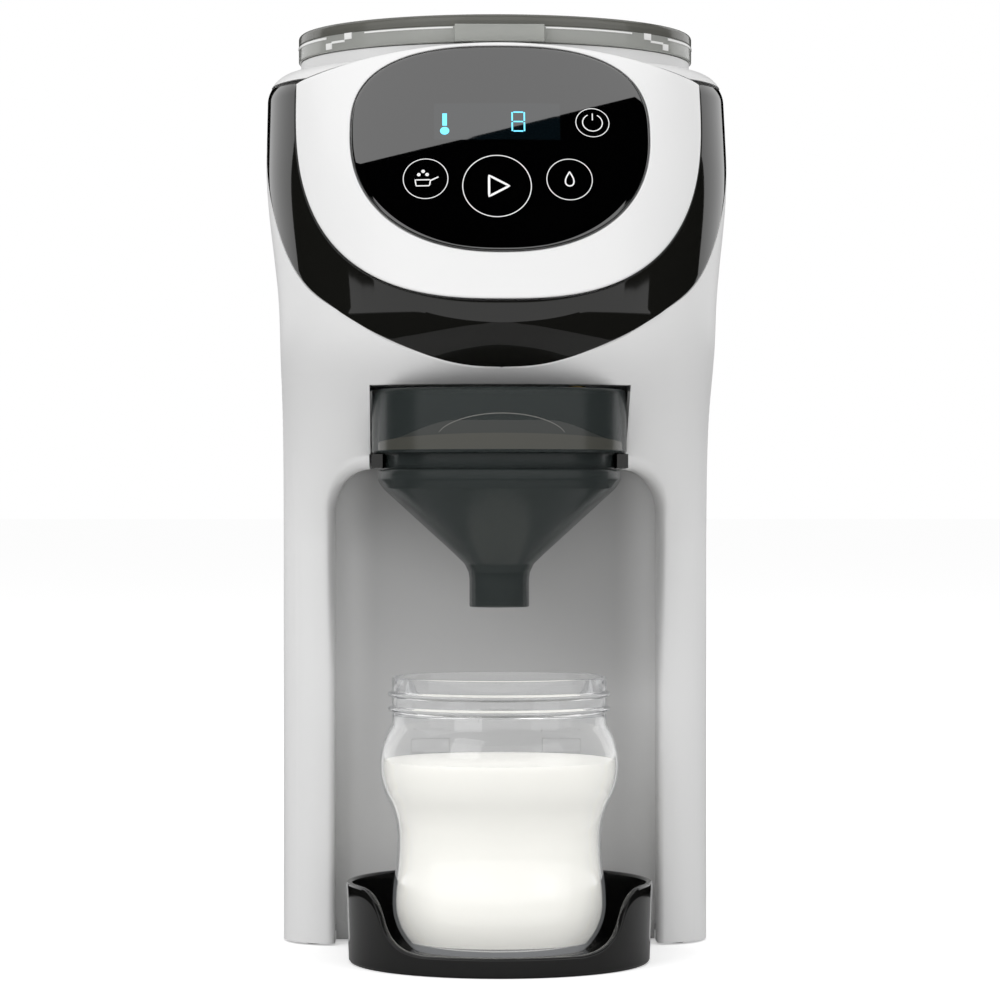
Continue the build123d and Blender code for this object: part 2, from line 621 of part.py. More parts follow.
MOTOR_R = 17.0
MOTOR_Z = (168.0, PLATE_Z[0])
with BuildPart() as drive_motor:
    post(0, MOTOR_Y, MOTOR_R, MOTOR_Z[0], MOTOR_Z[1] - 2)
    post(0, MOTOR_Y, 9, *MOTOR_Z)
    fillet(drive_motor.edges().filter_by(GeomType.CIRCLE).group_by(Axis.Z)[0], 1.5)
    post(0, MOTOR_Y, PINION_SHAFT_R + RUN, MOTOR_Z[1] - 7, MOTOR_Z[1] + 1, Mode.SUBTRACT)
save(drive_motor, "drive_motor")

POSTS = [(-28, -60), (28, -60), (-28, 12), (28, 12)]
with BuildPart() as gearbox_plate:
    block((-33, 33), (-65, 17), PLATE_Z)
    fillet(gearbox_plate.edges().filter_by(Axis.Z), 4)
    for x, y in POSTS:
        post(x, y, 4, PLATE_Z[1], WELL_Z - WALL - GAP)
        post(x, y, 1.5, PLATE_Z[0] - 1, PLATE_Z[1] + 11, Mode.SUBTRACT)
    post(0, POWDER_Y, SHAFT_R + RUN, PLATE_Z[0] - 1, PLATE_Z[1] + 1, Mode.SUBTRACT)
    post(0, MOTOR_Y, 3.2, PLATE_Z[0] - 1, PLATE_Z[1] + 1, Mode.SUBTRACT)
save(gearbox_plate, "gearbox_plate")

with BuildPart() as drive_screws:
    for x, y in POSTS:
        post(x, y, 3, PLATE_Z[0] - 1.8, PLATE_Z[0])
        post(x, y, 1.45, PLATE_Z[0] - 1, PLATE_Z[0] + 10)
save(drive_screws, "drive_screws")

with BuildPart() as powder_chute:
    post(0, CHUTE_Y, CHUTE_R + CHUTE_T, BAY_TOP - 0.5, WELL_Z - WALL - GAP)
    post(0, CHUTE_Y, CHUTE_R + 5, WELL_Z - WALL - GAP - 2, WELL_Z - WALL - GAP)
    post(0, CHUTE_Y, CHUTE_R, 180, 240, Mode.SUBTRACT)
save(powder_chute, "powder_chute")

# ---------------------------------------------------------------- funnel and its bracket
FUNNEL_TOP = 191.2
FUNNEL_T = 2.0
NECK_R = 38.6             # groove that the bracket's rails run in
BOWL_R = 40.7
BOWL_Z = (161.0, 164.6)
SPOUT_R = 10.0
SPOUT_Z = 118.6


def collar_face(z, grow):
    """Plan of the funnel's collar: half round in front, straight sides to the rear wall."""
    radius, back = COLLAR_R + grow, DRINK_Y + FUNNEL_BACK + grow
    with BuildSketch(Plane.XY.offset(z)) as outline:
        with BuildLine():
            ThreePointArc((-radius, DRINK_Y), (0, DRINK_Y - radius), (radius, DRINK_Y))
            Polyline((radius, DRINK_Y), (radius, back), (-radius, back), (-radius, DRINK_Y))
        make_face()
    return outline.sketch


CONE = [(BOWL_R, BOWL_Z[1]), (BOWL_R, BOWL_Z[0]), (38.9, 158.2), (15, 136.3), (11.6, 133), (10.3, 130.2),
        (SPOUT_R, 128), (SPOUT_R, SPOUT_Z)]
with BuildPart() as funnel:
    extrude(collar_face(170, 0), amount=FUNNEL_TOP - 170)
    extrude(collar_face(172, -FUNNEL_T), amount=FUNNEL_TOP - 170, mode=Mode.SUBTRACT)
    post(0, DRINK_Y, NECK_R, BOWL_Z[1], 171)
    post(0, DRINK_Y, NECK_R - FUNNEL_T, BOWL_Z[1] - 1, 173, Mode.SUBTRACT)
save(funnel, "funnel")

INNER = [(r - FUNNEL_T, z) for r, z in reversed(CONE[2:])]
with BuildPart() as funnel_cone:
    add(spin(DRINK_Y, CONE + INNER + [(NECK_R - FUNNEL_T, 159), (NECK_R - FUNNEL_T, BOWL_Z[1])]))
save(funnel_cone, "funnel_cone")

with BuildPart() as funnel_insert:
    add(spin(DRINK_Y, [(34.5, 172.3), (34.5, 173.8), (27, 173.8), (18.4, 183), (17, 183), (25.8, 172.3)]))
    for angle in (90, 210, 330):
        with Locations(Location((0, DRINK_Y, 173.05), (0, 0, angle))):
            with Locations((35.5, 0, 0)):
                Box(4, 8, 1.5)
save(funnel_insert, "funnel_insert")

RAIL_X = NECK_R + 0.4
with BuildPart() as funnel_bracket:
    with BuildSketch(Plane.XY.offset(BOWL_Z[1] + 0.4)):
        with BuildLine():
            Polyline((COLLAR_R, -112), (COLLAR_R, ALCOVE_Y - GAP), (-COLLAR_R, ALCOVE_Y - GAP),
                     (-COLLAR_R, -112), (-RAIL_X, -112), (-RAIL_X, DRINK_Y))
            ThreePointArc((-RAIL_X, DRINK_Y), (0, DRINK_Y + RAIL_X), (RAIL_X, DRINK_Y))
            Polyline((RAIL_X, DRINK_Y), (RAIL_X, -112), (COLLAR_R, -112))
        make_face()
    extrude(amount=170 - GAP - BOWL_Z[1] - 0.4)
save(funnel_bracket, "funnel_bracket")

# ---------------------------------------------------------------- bottle tray
TRAY_R = (50.4, 51.3)     # outer radius at the table and at the rim
TRAY_RIM = 27.0
TRAY_T = 2.2
TRAY_FLOOR = 4.1
SCOOP = [(46.5, 27.4), (41.2, 23.3), (39.1, 17.3), (36.2, 11.2), (31.2, 7.8), (26.0, 6.7)]
with BuildPart() as scoop_cut:
    with BuildSketch(Plane.XZ.offset(-DRINK_Y)):
        with BuildLine():
            Spline(*SCOOP, tangents=[(-1, -0.3), (-1, 0)])
            Line(SCOOP[-1], (-SCOOP[-1][0], SCOOP[-1][1]))
            Spline(*[(-x, z) for x, z in reversed(SCOOP)], tangents=[(-1, 0), (-1, 0.3)])
            Polyline((-SCOOP[0][0], SCOOP[0][1]), (-60, 40), (60, 40), (SCOOP[0][0], SCOOP[0][1]))
        make_face()
    extrude(amount=60)
TRAY_PROFILE = [(0, 0), (TRAY_R[0] - 1, 0), (TRAY_R[0], 1), (TRAY_R[1], TRAY_RIM),
                (TRAY_R[1] - TRAY_T, TRAY_RIM), (TRAY_R[0] - TRAY_T, TRAY_FLOOR), (0, TRAY_FLOOR)]
with BuildPart() as bottle_tray:
    add(spin(DRINK_Y, TRAY_PROFILE))
    add(scoop_cut.part, mode=Mode.SUBTRACT)
    for x in (-SLOT_X, SLOT_X):
        z = SLOT_ROWS[0]
        block((x - PEG[0] / 2, x + PEG[0] / 2), (-60, ALCOVE_Y + 5), (z - PEG[1] / 2, z + PEG[1] / 2))
    post(0, DRINK_Y, TRAY_R[0] - TRAY_T - 0.5, TRAY_FLOOR, 40, Mode.SUBTRACT)
save(bottle_tray, "bottle_tray")

# ---------------------------------------------------------------- bottle with milk
BOTTLE_Z = TRAY_FLOOR + GAP
BOTTLE_T = 2.0
# side of the bottle as tangent arcs: centre (radius, height), radius (negative where hollow), turn in degrees
SIDE = [(15.6, 19.4, 20.1, -48, 0), (-24.3, 19.4, 60.0, 0, 7.84), (134.8, 41.3, -100.6, 7.84, 0),
        (62.2, 41.3, -28.0, 0, -27.3), (15.1, 65.6, 25.0, -27.3, 0), (13.8, 65.6, 26.3, 0, 32.4)]
BOTTLE_FLOOR = BOTTLE_Z + 2.4
BOTTLE_RIM = 95.4
RIDGE = 1.3               # height of the two thread ridges
MILK_GAP = 0.15
MILK_Z = 67.5


def bottle_side(inset, floor):
    """Side of the bottle, moved inwards by inset, drawn into the open line; returns its lower and upper end."""
    centre, height, radius = SIDE[0][:3]
    first = asin((floor - height) / (radius - inset))
    foot = start = (centre + (radius - inset) * cos(first), floor)
    turns = [(degrees(first), 0)] + [(begin, end) for *_, begin, end in SIDE[1:]]
    for (centre, height, radius, *_), (begin, end) in zip(SIDE, turns):
        middle, last = [(centre + (radius - inset) * cos(radians(a)), height + (radius - inset) * sin(radians(a)))
                        for a in ((begin + end) / 2, end)]
        ThreePointArc(start, middle, last)
        start = last
    return foot, start


NECK_X = SIDE[-1][0] + SIDE[-1][2] * cos(radians(SIDE[-1][-1]))
THREAD = []
for z in (83.5, 88.5):
    THREAD += [(NECK_X, z), (NECK_X + RIDGE, z + 0.8), (NECK_X + RIDGE, z + 1.4), (NECK_X, z + 2.2)]
with BuildPart() as bottle:
    with BuildSketch(Plane.XZ.offset(-DRINK_Y)):
        with BuildLine():
            foot, neck = bottle_side(0, BOTTLE_Z)
            foot_in, neck_in = bottle_side(BOTTLE_T, BOTTLE_FLOOR)
            Polyline(neck, *THREAD, (NECK_X, BOTTLE_RIM), (neck_in[0], BOTTLE_RIM), neck_in)
            Polyline(foot_in, (0, BOTTLE_FLOOR), (0, BOTTLE_Z), foot)
        make_face()
    revolve(axis=Axis((0, DRINK_Y, 0), (0, 0, 1)))
save(bottle, "bottle")

with BuildPart() as milk:
    with BuildSketch(Plane.XZ.offset(-DRINK_Y)):
        with BuildLine():
            foot, neck = bottle_side(BOTTLE_T + MILK_GAP, BOTTLE_FLOOR + MILK_GAP)
            Polyline(neck, (0, neck[1]), (0, foot[1]), foot)
        make_face()
    revolve(axis=Axis((0, DRINK_Y, 0), (0, 0, 1)))
    block((-60, 60), (-160, -40), (MILK_Z, 130), Mode.SUBTRACT)
save(milk, "milk")

# ---------------------------------------------------------------- water tank
HOSE_R = 3.8              # hose: outer radius and bore; spigots fit the bore with a small gap
HOSE_BORE = 2.5
SPIGOT_R = 2.2
HOSE_Z = 14.0             # height of the low hose runs
TANK_HALF = COLUMN_HALF - 0.2
TANK_Y = (REAR_Y + 0.8, SHELF_Y + 0.2)
TANK_Z = (SHELF_Z + 1.8, 300.5)
TANK_T = 2.2
TANK_R = 20.0


def tank_face(z, inset, rear_limit=None):
    """Plan of the water tank, moved inwards by inset."""
    half, y0, y1 = TANK_HALF - inset, TANK_Y[0] + inset, TANK_Y[1] - inset
    big, small = TANK_R - inset, 4.5 - inset
    with BuildSketch(Plane.XY.offset(z)) as outline:
        with Locations((0, (y0 + y1) / 2)):
            Rectangle(2 * half, y1 - y0)
        fillet(outline.vertices().group_by(Axis.Y)[-1], big)
        fillet(outline.vertices().group_by(Axis.Y)[0], small)
        if rear_limit is not None:
            with Locations((0, rear_limit + 50)):
                Rectangle(4 * half, 100, mode=Mode.SUBTRACT)
    return outline.sketch


VALVE_SEAT = TANK_Z[0] + TANK_T + 0.4  # top of the tank's floor
LID_BACK = 145.0          # rear edge of the tank's lid, in front of its hinge
TANK_HINGE = (148.5, TANK_Z[1] + 3.3)
with BuildPart() as water_tank:
    extrude(tank_face(TANK_Z[0], 0), amount=TANK_Z[1] - TANK_Z[0])
    extrude(tank_face(VALVE_SEAT, TANK_T), amount=TANK_Z[1] - TANK_T - VALVE_SEAT, mode=Mode.SUBTRACT)
    extrude(tank_face(TANK_Z[1] - 3, TANK_T, LID_BACK - 2), amount=4, mode=Mode.SUBTRACT)
    for x in (-18, 18):
        block((x - 3, x + 3), (TANK_HINGE[0] - EAR_R, TANK_Y[1] - 0.6), (TANK_Z[1] - 1, TANK_HINGE[1]))
        with Locations(Location((x, *TANK_HINGE), (0, 90, 0))):
            Cylinder(EAR_R, 6)
    with Locations(Location((0, *TANK_HINGE), (0, 90, 0))):
        Cylinder(PIN_R + RUN, 60, mode=Mode.SUBTRACT)
    post(*SOCKET, 9, SHELF_Z - 3, TANK_Z[0] + 1)
    post(*SOCKET, 6, SHELF_Z - 4, TANK_Z[0] + 6, Mode.SUBTRACT)
    for z in (225, 245):
        block((-TANK_HALF + 10, -TANK_HALF + 20), (TANK_Y[1] - 0.2, TANK_Y[1] + 0.1), (z, z + 0.8))
save(water_tank, "water_tank")

with BuildPart() as tank_lid_pin:
    with Locations(Location((0, *TANK_HINGE), (0, 90, 0))):
        Cylinder(PIN_R, 42)
save(tank_lid_pin, "tank_lid_pin")

with BuildPart() as tank_lid:
    extrude(tank_face(TANK_Z[1] + GAP, 0.4, LID_BACK), amount=3)
    extrude(tank_face(TANK_Z[1] - 2, TANK_T + 0.5, LID_BACK - 3), amount=3)
    block((-14.5, 14.5), (LID_BACK - 4, TANK_HINGE[0]), (TANK_Z[1] + GAP, TANK_Z[1] + GAP + 3))
    with Locations(Location((0, *TANK_HINGE), (0, 90, 0))):
        Cylinder(3.0, 29)
        Cylinder(PIN_R + RUN, 60, mode=Mode.SUBTRACT)
save(tank_lid, "tank_lid")

with BuildPart() as valve_seat:
    post(*SOCKET, 5.95, SHELF_Z - 3, VALVE_SEAT + 3)
    post(*SOCKET, 8.5, VALVE_SEAT + GAP, VALVE_SEAT + 3)
    post(*SOCKET, 4, SHELF_Z - 5, VALVE_SEAT + 5, Mode.SUBTRACT)
save(valve_seat, "valve_seat")

with BuildPart() as valve_plunger:
    post(*SOCKET, 6, VALVE_SEAT + 3.2, VALVE_SEAT + 5.5)
    post(*SOCKET, 1.6, SHELF_Z + 1, VALVE_SEAT + 14)
save(valve_plunger, "valve_plunger")

with BuildPart() as valve_cage:
    for angle in (0, 90, 180, 270):
        x, y = SOCKET[0] + 7.3 * cos(radians(angle)), SOCKET[1] + 7.3 * sin(radians(angle))
        post(x, y, 1.0, VALVE_SEAT + 3, VALVE_SEAT + 17)
    post(*SOCKET, 8.5, VALVE_SEAT + 17, VALVE_SEAT + 19)
    post(*SOCKET, 1.6 + RUN, VALVE_SEAT + 16, VALVE_SEAT + 20, Mode.SUBTRACT)
save(valve_cage, "valve_cage")

with BuildPart() as tank_socket:
    post(*SOCKET, SOCKET_R, SHELF_Z - 4, SHELF_Z - 0.5)
    post(*SOCKET, 9.6, SHELF_Z - 4, SHELF_Z + 1, Mode.SUBTRACT)
    post(*SOCKET, 12, BODY_Z + COVER_T + GAP, SHELF_Z - 4)
    post(*SOCKET, 9.6, SHELF_Z - 8, SHELF_Z - 3, Mode.SUBTRACT)
    post(*SOCKET, 1.5, SHELF_Z - 9, SHELF_Z + 0.6)
    with BuildSketch(Plane(origin=(SOCKET[0], SOCKET[1] - 11, HOSE_Z), z_dir=(0, -1, 0))):
        Circle(SPIGOT_R)
    extrude(amount=8)
save(tank_socket, "tank_socket")

with BuildPart() as socket_seal:
    post(*SOCKET, 9.55, SHELF_Z - 8 + 0.05, SHELF_Z - 5)
    post(*SOCKET, 7.5, SHELF_Z - 9, SHELF_Z - 4, Mode.SUBTRACT)
save(socket_seal, "socket_seal")

# ---------------------------------------------------------------- inside the column
PLATE_Y = (24.0, 26.5)    # upright chassis plate
PLATE_HALF = COLUMN_HALF - WALL - 2 * RUN
with BuildPart() as chassis:
    block((-PLATE_HALF, PLATE_HALF), PLATE_Y, (FLOOR_Z, 205))
    block((-PLATE_HALF, PLATE_HALF), (PLATE_Y[1], PLATE_Y[1] + 14), (FLOOR_Z, FLOOR_Z + 2.5))
    for x, z in [(-58, 30), (-8, 30), (-58, 110), (-8, 110), (8, 70), (62, 70), (8, 180), (62, 180)]:
        with Locations(Location((x, PLATE_Y[1] + 3, z), (90, 0, 0))):
            Cylinder(3, 6)
    with Locations(Location((0, PLATE_Y[0], HOSE_Z), (90, 0, 0))):
        Cylinder(HOSE_R + GAP, 20, mode=Mode.SUBTRACT)
save(chassis, "chassis")

BOARD_Y = PLATE_Y[1] + 6
with BuildPart() as power_supply:
    block((-62, -4), (BOARD_Y, BOARD_Y + 1.6), (24, 116))
    block((-56, -30), (BOARD_Y + 1.6, BOARD_Y + 22), (60, 90))
    block((-24, -10), (BOARD_Y + 1.6, BOARD_Y + 16), (70, 96))
    for x in (-48, -34):
        with Locations(Location((x, BOARD_Y + 11.6, 42), (90, 0, 0))):
            Cylinder(6, 20)
save(power_supply, "power_supply")

with BuildPart() as main_board:
    block((4, 66), (BOARD_Y, BOARD_Y + 1.6), (64, 186))
    block((24, 42), (BOARD_Y + 1.6, BOARD_Y + 3.4), (110, 128))
    block((12, 28), (BOARD_Y + 1.6, BOARD_Y + 14), (150, 170))
    block((36, 60), (BOARD_Y + 1.6, BOARD_Y + 9), (70, 78))
save(main_board, "main_board")


def spigot(x, y, z, direction, length=7.0):
    """Hose spigot that starts at a point and points along a direction, inside the open part."""
    with BuildSketch(Plane(origin=(x, y, z), z_dir=direction)) as end:
        Circle(SPIGOT_R)
    extrude(end.sketch, amount=length)


def hose(label, *points, bend=6.0):
    """Hose along a polyline with rounded corners, written as its own node."""
    with BuildPart() as run:
        with BuildLine() as path:
            FilletPolyline(*points, radius=bend)
        with BuildSketch(Plane(origin=path.line @ 0, z_dir=path.line % 0)):
            Circle(HOSE_R)
            Circle(HOSE_BORE, mode=Mode.SUBTRACT)
        sweep()
    save(run, label)


PUMP = (40.0, -8.0)
PUMP_Z = (FLOOR_Z + 4, FLOOR_Z + 40, FLOOR_Z + 58)
PUMP_PORT = 7.0
with BuildPart() as pump_mount:
    post(*PUMP, 18, FLOOR_Z, PUMP_Z[0])
save(pump_mount, "pump_mount")

with BuildPart() as water_pump:
    post(*PUMP, 15, PUMP_Z[0], PUMP_Z[1])
    post(*PUMP, 17.5, PUMP_Z[1], PUMP_Z[2])
    fillet(water_pump.edges().filter_by(GeomType.CIRCLE).group_by(Axis.Z)[-1], 2)
    for x in (PUMP[0] - PUMP_PORT, PUMP[0] + PUMP_PORT):
        spigot(x, PUMP[1], PUMP_Z[2] - 1, (0, 0, 1), 8)
save(water_pump, "water_pump")

HEATER = (-42.0, -8.0)
HEATER_Z = (34.0, 138.0)
with BuildPart() as heater:
    post(*HEATER, 19, *HEATER_Z)
    fillet(heater.edges().filter_by(GeomType.CIRCLE), 4)
    spigot(*HEATER, HEATER_Z[0] + 1, (0, 0, -1), 8)
    spigot(*HEATER, HEATER_Z[1] - 1, (0, 0, 1), 8)
save(heater, "heater")

with BuildPart() as heater_clamps:
    for z in (52, 112):
        post(*HEATER, 20.8, z, z + 9)
        block((HEATER[0] - 8, HEATER[0] + 8), (HEATER[1] + 10, PLATE_Y[0]), (z, z + 9))
    post(*HEATER, 19.3, 30, 140, Mode.SUBTRACT)
save(heater_clamps, "heater_clamps")

METER = (0.0, -8.0)
METER_TOP = FLOOR_Z + 20
with BuildPart() as flow_meter:
    post(*METER, 13, FLOOR_Z, METER_TOP)
    spigot(METER[0] + 5, METER[1], METER_TOP - 1, (0, 0, 1), 8)
    spigot(METER[0] - 12, METER[1], HOSE_Z, (-1, 0, 0), 8)
save(flow_meter, "flow_meter")

VALVE = (44.0, 6.0)
VALVE_Z = 131.0
with BuildPart() as solenoid_valve:
    block((VALVE[0] - 11, VALVE[0] + 11), (VALVE[1] - 10, PLATE_Y[0]), (VALVE_Z - 11, VALVE_Z + 11))
    post(*VALVE, 9, VALVE_Z + 11, VALVE_Z + 33)
    spigot(VALVE[0] - 10, VALVE[1], VALVE_Z, (-1, 0, 0), 8)
    spigot(VALVE[0], VALVE[1] - 9, VALVE_Z, (0, -1, 0), 8)
save(solenoid_valve, "solenoid_valve")

NOZZLE_TOP = BAY_TOP + WALL + 3
with BuildPart() as water_nozzle:
    post(*NOZZLE, 6, BAY_TOP + WALL + GAP, NOZZLE_TOP)
    post(*NOZZLE, 3, BAY_TOP - 0.6, BAY_TOP + WALL + 1)
    post(*NOZZLE, SPIGOT_R, NOZZLE_TOP, NOZZLE_TOP + 7)
    post(*NOZZLE, 1.2, BAY_TOP - 2, NOZZLE_TOP + 8, Mode.SUBTRACT)
save(water_nozzle, "water_nozzle")

HIGH_Z = 212.0            # height of the run over the funnel bay
PORT_X = (PUMP[0] - PUMP_PORT, PUMP[0] + PUMP_PORT)
hose("hose_tank", (SOCKET[0], SOCKET[1] - 12 - GAP, HOSE_Z), (0, 14, HOSE_Z), (22, 14, HOSE_Z), (22, 14, 80),
     (PORT_X[0], PUMP[1], 80), (PORT_X[0], PUMP[1], PUMP_Z[2] + GAP))
hose("hose_meter", (PORT_X[1], PUMP[1], PUMP_Z[2] + GAP), (PORT_X[1], PUMP[1], 92),
     (METER[0] + 5, METER[1], 92), (METER[0] + 5, METER[1], METER_TOP + GAP))
hose("hose_heater", (METER[0] - 13 - GAP, METER[1], HOSE_Z), (HEATER[0], HEATER[1], HOSE_Z),
     (*HEATER, HEATER_Z[0] - GAP))
hose("hose_valve", (*HEATER, HEATER_Z[1] + GAP), (*HEATER, 156), (16, VALVE[1], 156), (16, VALVE[1], VALVE_Z),
     (VALVE[0] - 11 - GAP, VALVE[1], VALVE_Z))
hose("hose_nozzle", (VALVE[0], VALVE[1] - 10 - GAP, VALVE_Z), (VALVE[0], -22, VALVE_Z),
     (VALVE[0], -22, HIGH_Z), (VALVE[0], NOZZLE[1], HIGH_Z), (*NOZZLE, HIGH_Z), (*NOZZLE, NOZZLE_TOP + GAP))

with BuildPart() as cord_gland:
    with Locations(Location((GLAND[0], SHELF_Y - 6.5, GLAND[1]), (90, 0, 0))):
        Cylinder(GLAND_R, 13)
        Cylinder(3.6, 20, mode=Mode.SUBTRACT)
    with Locations(Location((GLAND[0], SHELF_Y - 4.5, GLAND[1]), (90, 0, 0))):
        Cylinder(GLAND_R - 1.2, 9)
        Cylinder(3.6, 20, mode=Mode.SUBTRACT)
save(cord_gland, "cord_gland")
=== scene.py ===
import json
from math import cos, pi, radians, sin
import bmesh
import bpy
import numpy as np
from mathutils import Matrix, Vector


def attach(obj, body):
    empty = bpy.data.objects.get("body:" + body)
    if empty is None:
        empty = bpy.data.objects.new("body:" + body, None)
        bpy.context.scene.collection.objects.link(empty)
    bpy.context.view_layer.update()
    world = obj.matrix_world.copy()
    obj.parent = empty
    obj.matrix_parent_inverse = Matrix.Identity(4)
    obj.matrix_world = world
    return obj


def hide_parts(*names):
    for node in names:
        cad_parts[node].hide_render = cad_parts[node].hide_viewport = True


# Baby formula maker.  All lengths below are millimetres; a mesh is scaled to metres when it is built.
# +Z is up, the front faces -Y and X = 0 is the plane of symmetry.

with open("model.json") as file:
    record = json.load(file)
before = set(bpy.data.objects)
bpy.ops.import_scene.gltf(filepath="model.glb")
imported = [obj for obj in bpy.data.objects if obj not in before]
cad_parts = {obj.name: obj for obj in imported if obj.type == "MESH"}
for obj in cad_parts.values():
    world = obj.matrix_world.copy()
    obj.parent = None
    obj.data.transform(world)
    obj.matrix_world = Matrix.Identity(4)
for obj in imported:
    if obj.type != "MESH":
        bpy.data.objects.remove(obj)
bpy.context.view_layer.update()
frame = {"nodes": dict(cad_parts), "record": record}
NODES = frame["nodes"]
MM = 0.001


# ---------------------------------------------------------------- shader maths
class Value:
    """A socket whose arithmetic adds Math nodes."""

    def __init__(self, finish, socket):
        self.finish, self.socket = finish, socket

    def _math(self, operation, first, second):
        return self.finish.node("ShaderNodeMath", {"operation": operation}, {0: first, 1: second})

    def __add__(self, other):
        return self._math("ADD", self, other)

    def __radd__(self, other):
        return self._math("ADD", other, self)

    def __sub__(self, other):
        return self._math("SUBTRACT", self, other)

    def __rsub__(self, other):
        return self._math("SUBTRACT", other, self)

    def __mul__(self, other):
        return self._math("MULTIPLY", self, other)

    def __rmul__(self, other):
        return self._math("MULTIPLY", other, self)


class Finish:
    """One procedural material with a Principled shader."""

    def __init__(self, name, **constants):
        self.material = bpy.data.materials.new(name)
        self.material.use_nodes = True
        self.tree = self.material.node_tree
        self.shader = self.tree.nodes["Principled BSDF"]
        for socket, value in constants.items():
            self.set(socket.replace("_", " "), value)

    def set(self, socket, value):
        self._fill(self.shader.inputs[socket], value)

    def _fill(self, socket, value):
        if isinstance(value, Value):
            self.tree.links.new(value.socket, socket)
        elif isinstance(value, tuple) and socket.type == "RGBA":
            socket.default_value = (*value, 1.0)
        else:
            socket.default_value = value

    def node(self, kind, settings=None, inputs=None, output=0):
        """Adds a node: its settings first, then values or links for its sockets."""
        made = self.tree.nodes.new(kind)
        for key, value in (settings or {}).items():
            if key == "stops":
                for stop, (place, colour) in zip(made.color_ramp.elements, value):
                    stop.position, stop.color = place, (*colour, 1.0)
            else:
                setattr(made, key, value)
        for key, value in (inputs or {}).items():
            self._fill(made.inputs[key], value)
        return Value(self, made.outputs[output])

    def place(self):
        return self.node("ShaderNodeTexCoord", output="Object")

    def noise(self, scale, detail=2.0, stretch=(1, 1, 1)):
        """Noise on object coordinates, scale in cells per metre."""
        place = self.node("ShaderNodeMapping", {}, {"Vector": self.place(), "Scale": stretch})
        return self.node("ShaderNodeTexNoise", {}, {"Vector": place, "Scale": scale, "Detail": detail})

    def ramp(self, value, start, end):
        """Smooth 0 to 1 as the value goes from start to end."""
        return self.node("ShaderNodeMapRange", {"interpolation_type": "SMOOTHSTEP"},
                         {"Value": value, "From Min": start, "From Max": end})

    def between(self, mask, low, high):
        """Colour between two colours by a mask."""
        return self.node("ShaderNodeMix", {"data_type": "RGBA"}, {0: mask, 6: low, 7: high}, output=2)

    def relief(self, height, depth):
        """Bump from a height mask, depth in metres."""
        self.set("Normal", self.node("ShaderNodeBump", {}, {"Height": height, "Distance": depth, "Strength": 1.0}))


def moulded(name, colour, shade, rough, spread=0.06, grain=2600.0, depth=0.00002, **constants):
    """Moulded plastic: slow colour drift, fine grain in bump and roughness."""
    finish = Finish(name, **constants)
    fine = finish.noise(grain, 3.0)
    slow = finish.noise(14.0, 2.0)
    finish.set("Base Color", finish.between(slow, colour, shade))
    finish.set("Roughness", rough + spread * (fine - 0.5))
    finish.relief(fine, depth)
    return finish.material


def casing_with_painted_shade(name, colour, shade, painted_shade):
    """White body plastic with painted shade: its colour turns to a deeper grey inside the alcove, standing in for the
    alcove's shade.

    The painted grey comes in smoothly from x +-57 to 41 mm and from y -60.5 to -48 mm, and weakens towards the foot."""
    finish = Finish(name)
    fine = finish.noise(3000.0, 3.0)
    axes = [finish.node("ShaderNodeSeparateXYZ", {}, {"Vector": finish.place()}, output=k) for k in range(3)]
    across = finish.node("ShaderNodeMath", {"operation": "ABSOLUTE"}, {0: axes[0]})
    shade_across = finish.ramp(across, 0.0570, 0.0410)
    behind = finish.ramp(axes[1], -0.0605, -0.0480)
    height = 1.0 - 0.45 * finish.ramp(axes[2], 0.145, 0.040)
    plain = finish.between(finish.noise(14.0), colour, shade)
    # painted shade: the alcove's grey is mixed into the base colour by position, not cast by the lamps
    finish.set("Base Color", finish.between(shade_across * behind * height, plain, painted_shade))
    finish.set("Roughness", 0.42 + 0.05 * (fine - 0.5))
    finish.relief(fine, 0.000015)
    return finish.material


def clear(name, colour, shade, rough, ior, **constants):
    """Clear moulded plastic with faint flow lines in its tint and its polish."""
    finish = Finish(name, **{"Transmission_Weight": 1.0, "IOR": ior, **constants})
    flow = finish.noise(24.0, 3.0, (1, 1, 4))
    finish.set("Base Color", finish.between(flow, colour, shade))
    finish.set("Roughness", rough + 0.03 * finish.noise(300.0))
    return finish.material


def metal(name, colour, shade, rough, grain, stretch):
    """Machined or rolled metal with stretched grain."""
    finish = Finish(name, Metallic=1.0)
    lines = finish.noise(grain, 4.0, stretch)
    finish.set("Base Color", finish.between(lines, colour, shade))
    finish.set("Roughness", rough + 0.16 * lines)
    finish.relief(lines, 0.00001)
    return finish.material


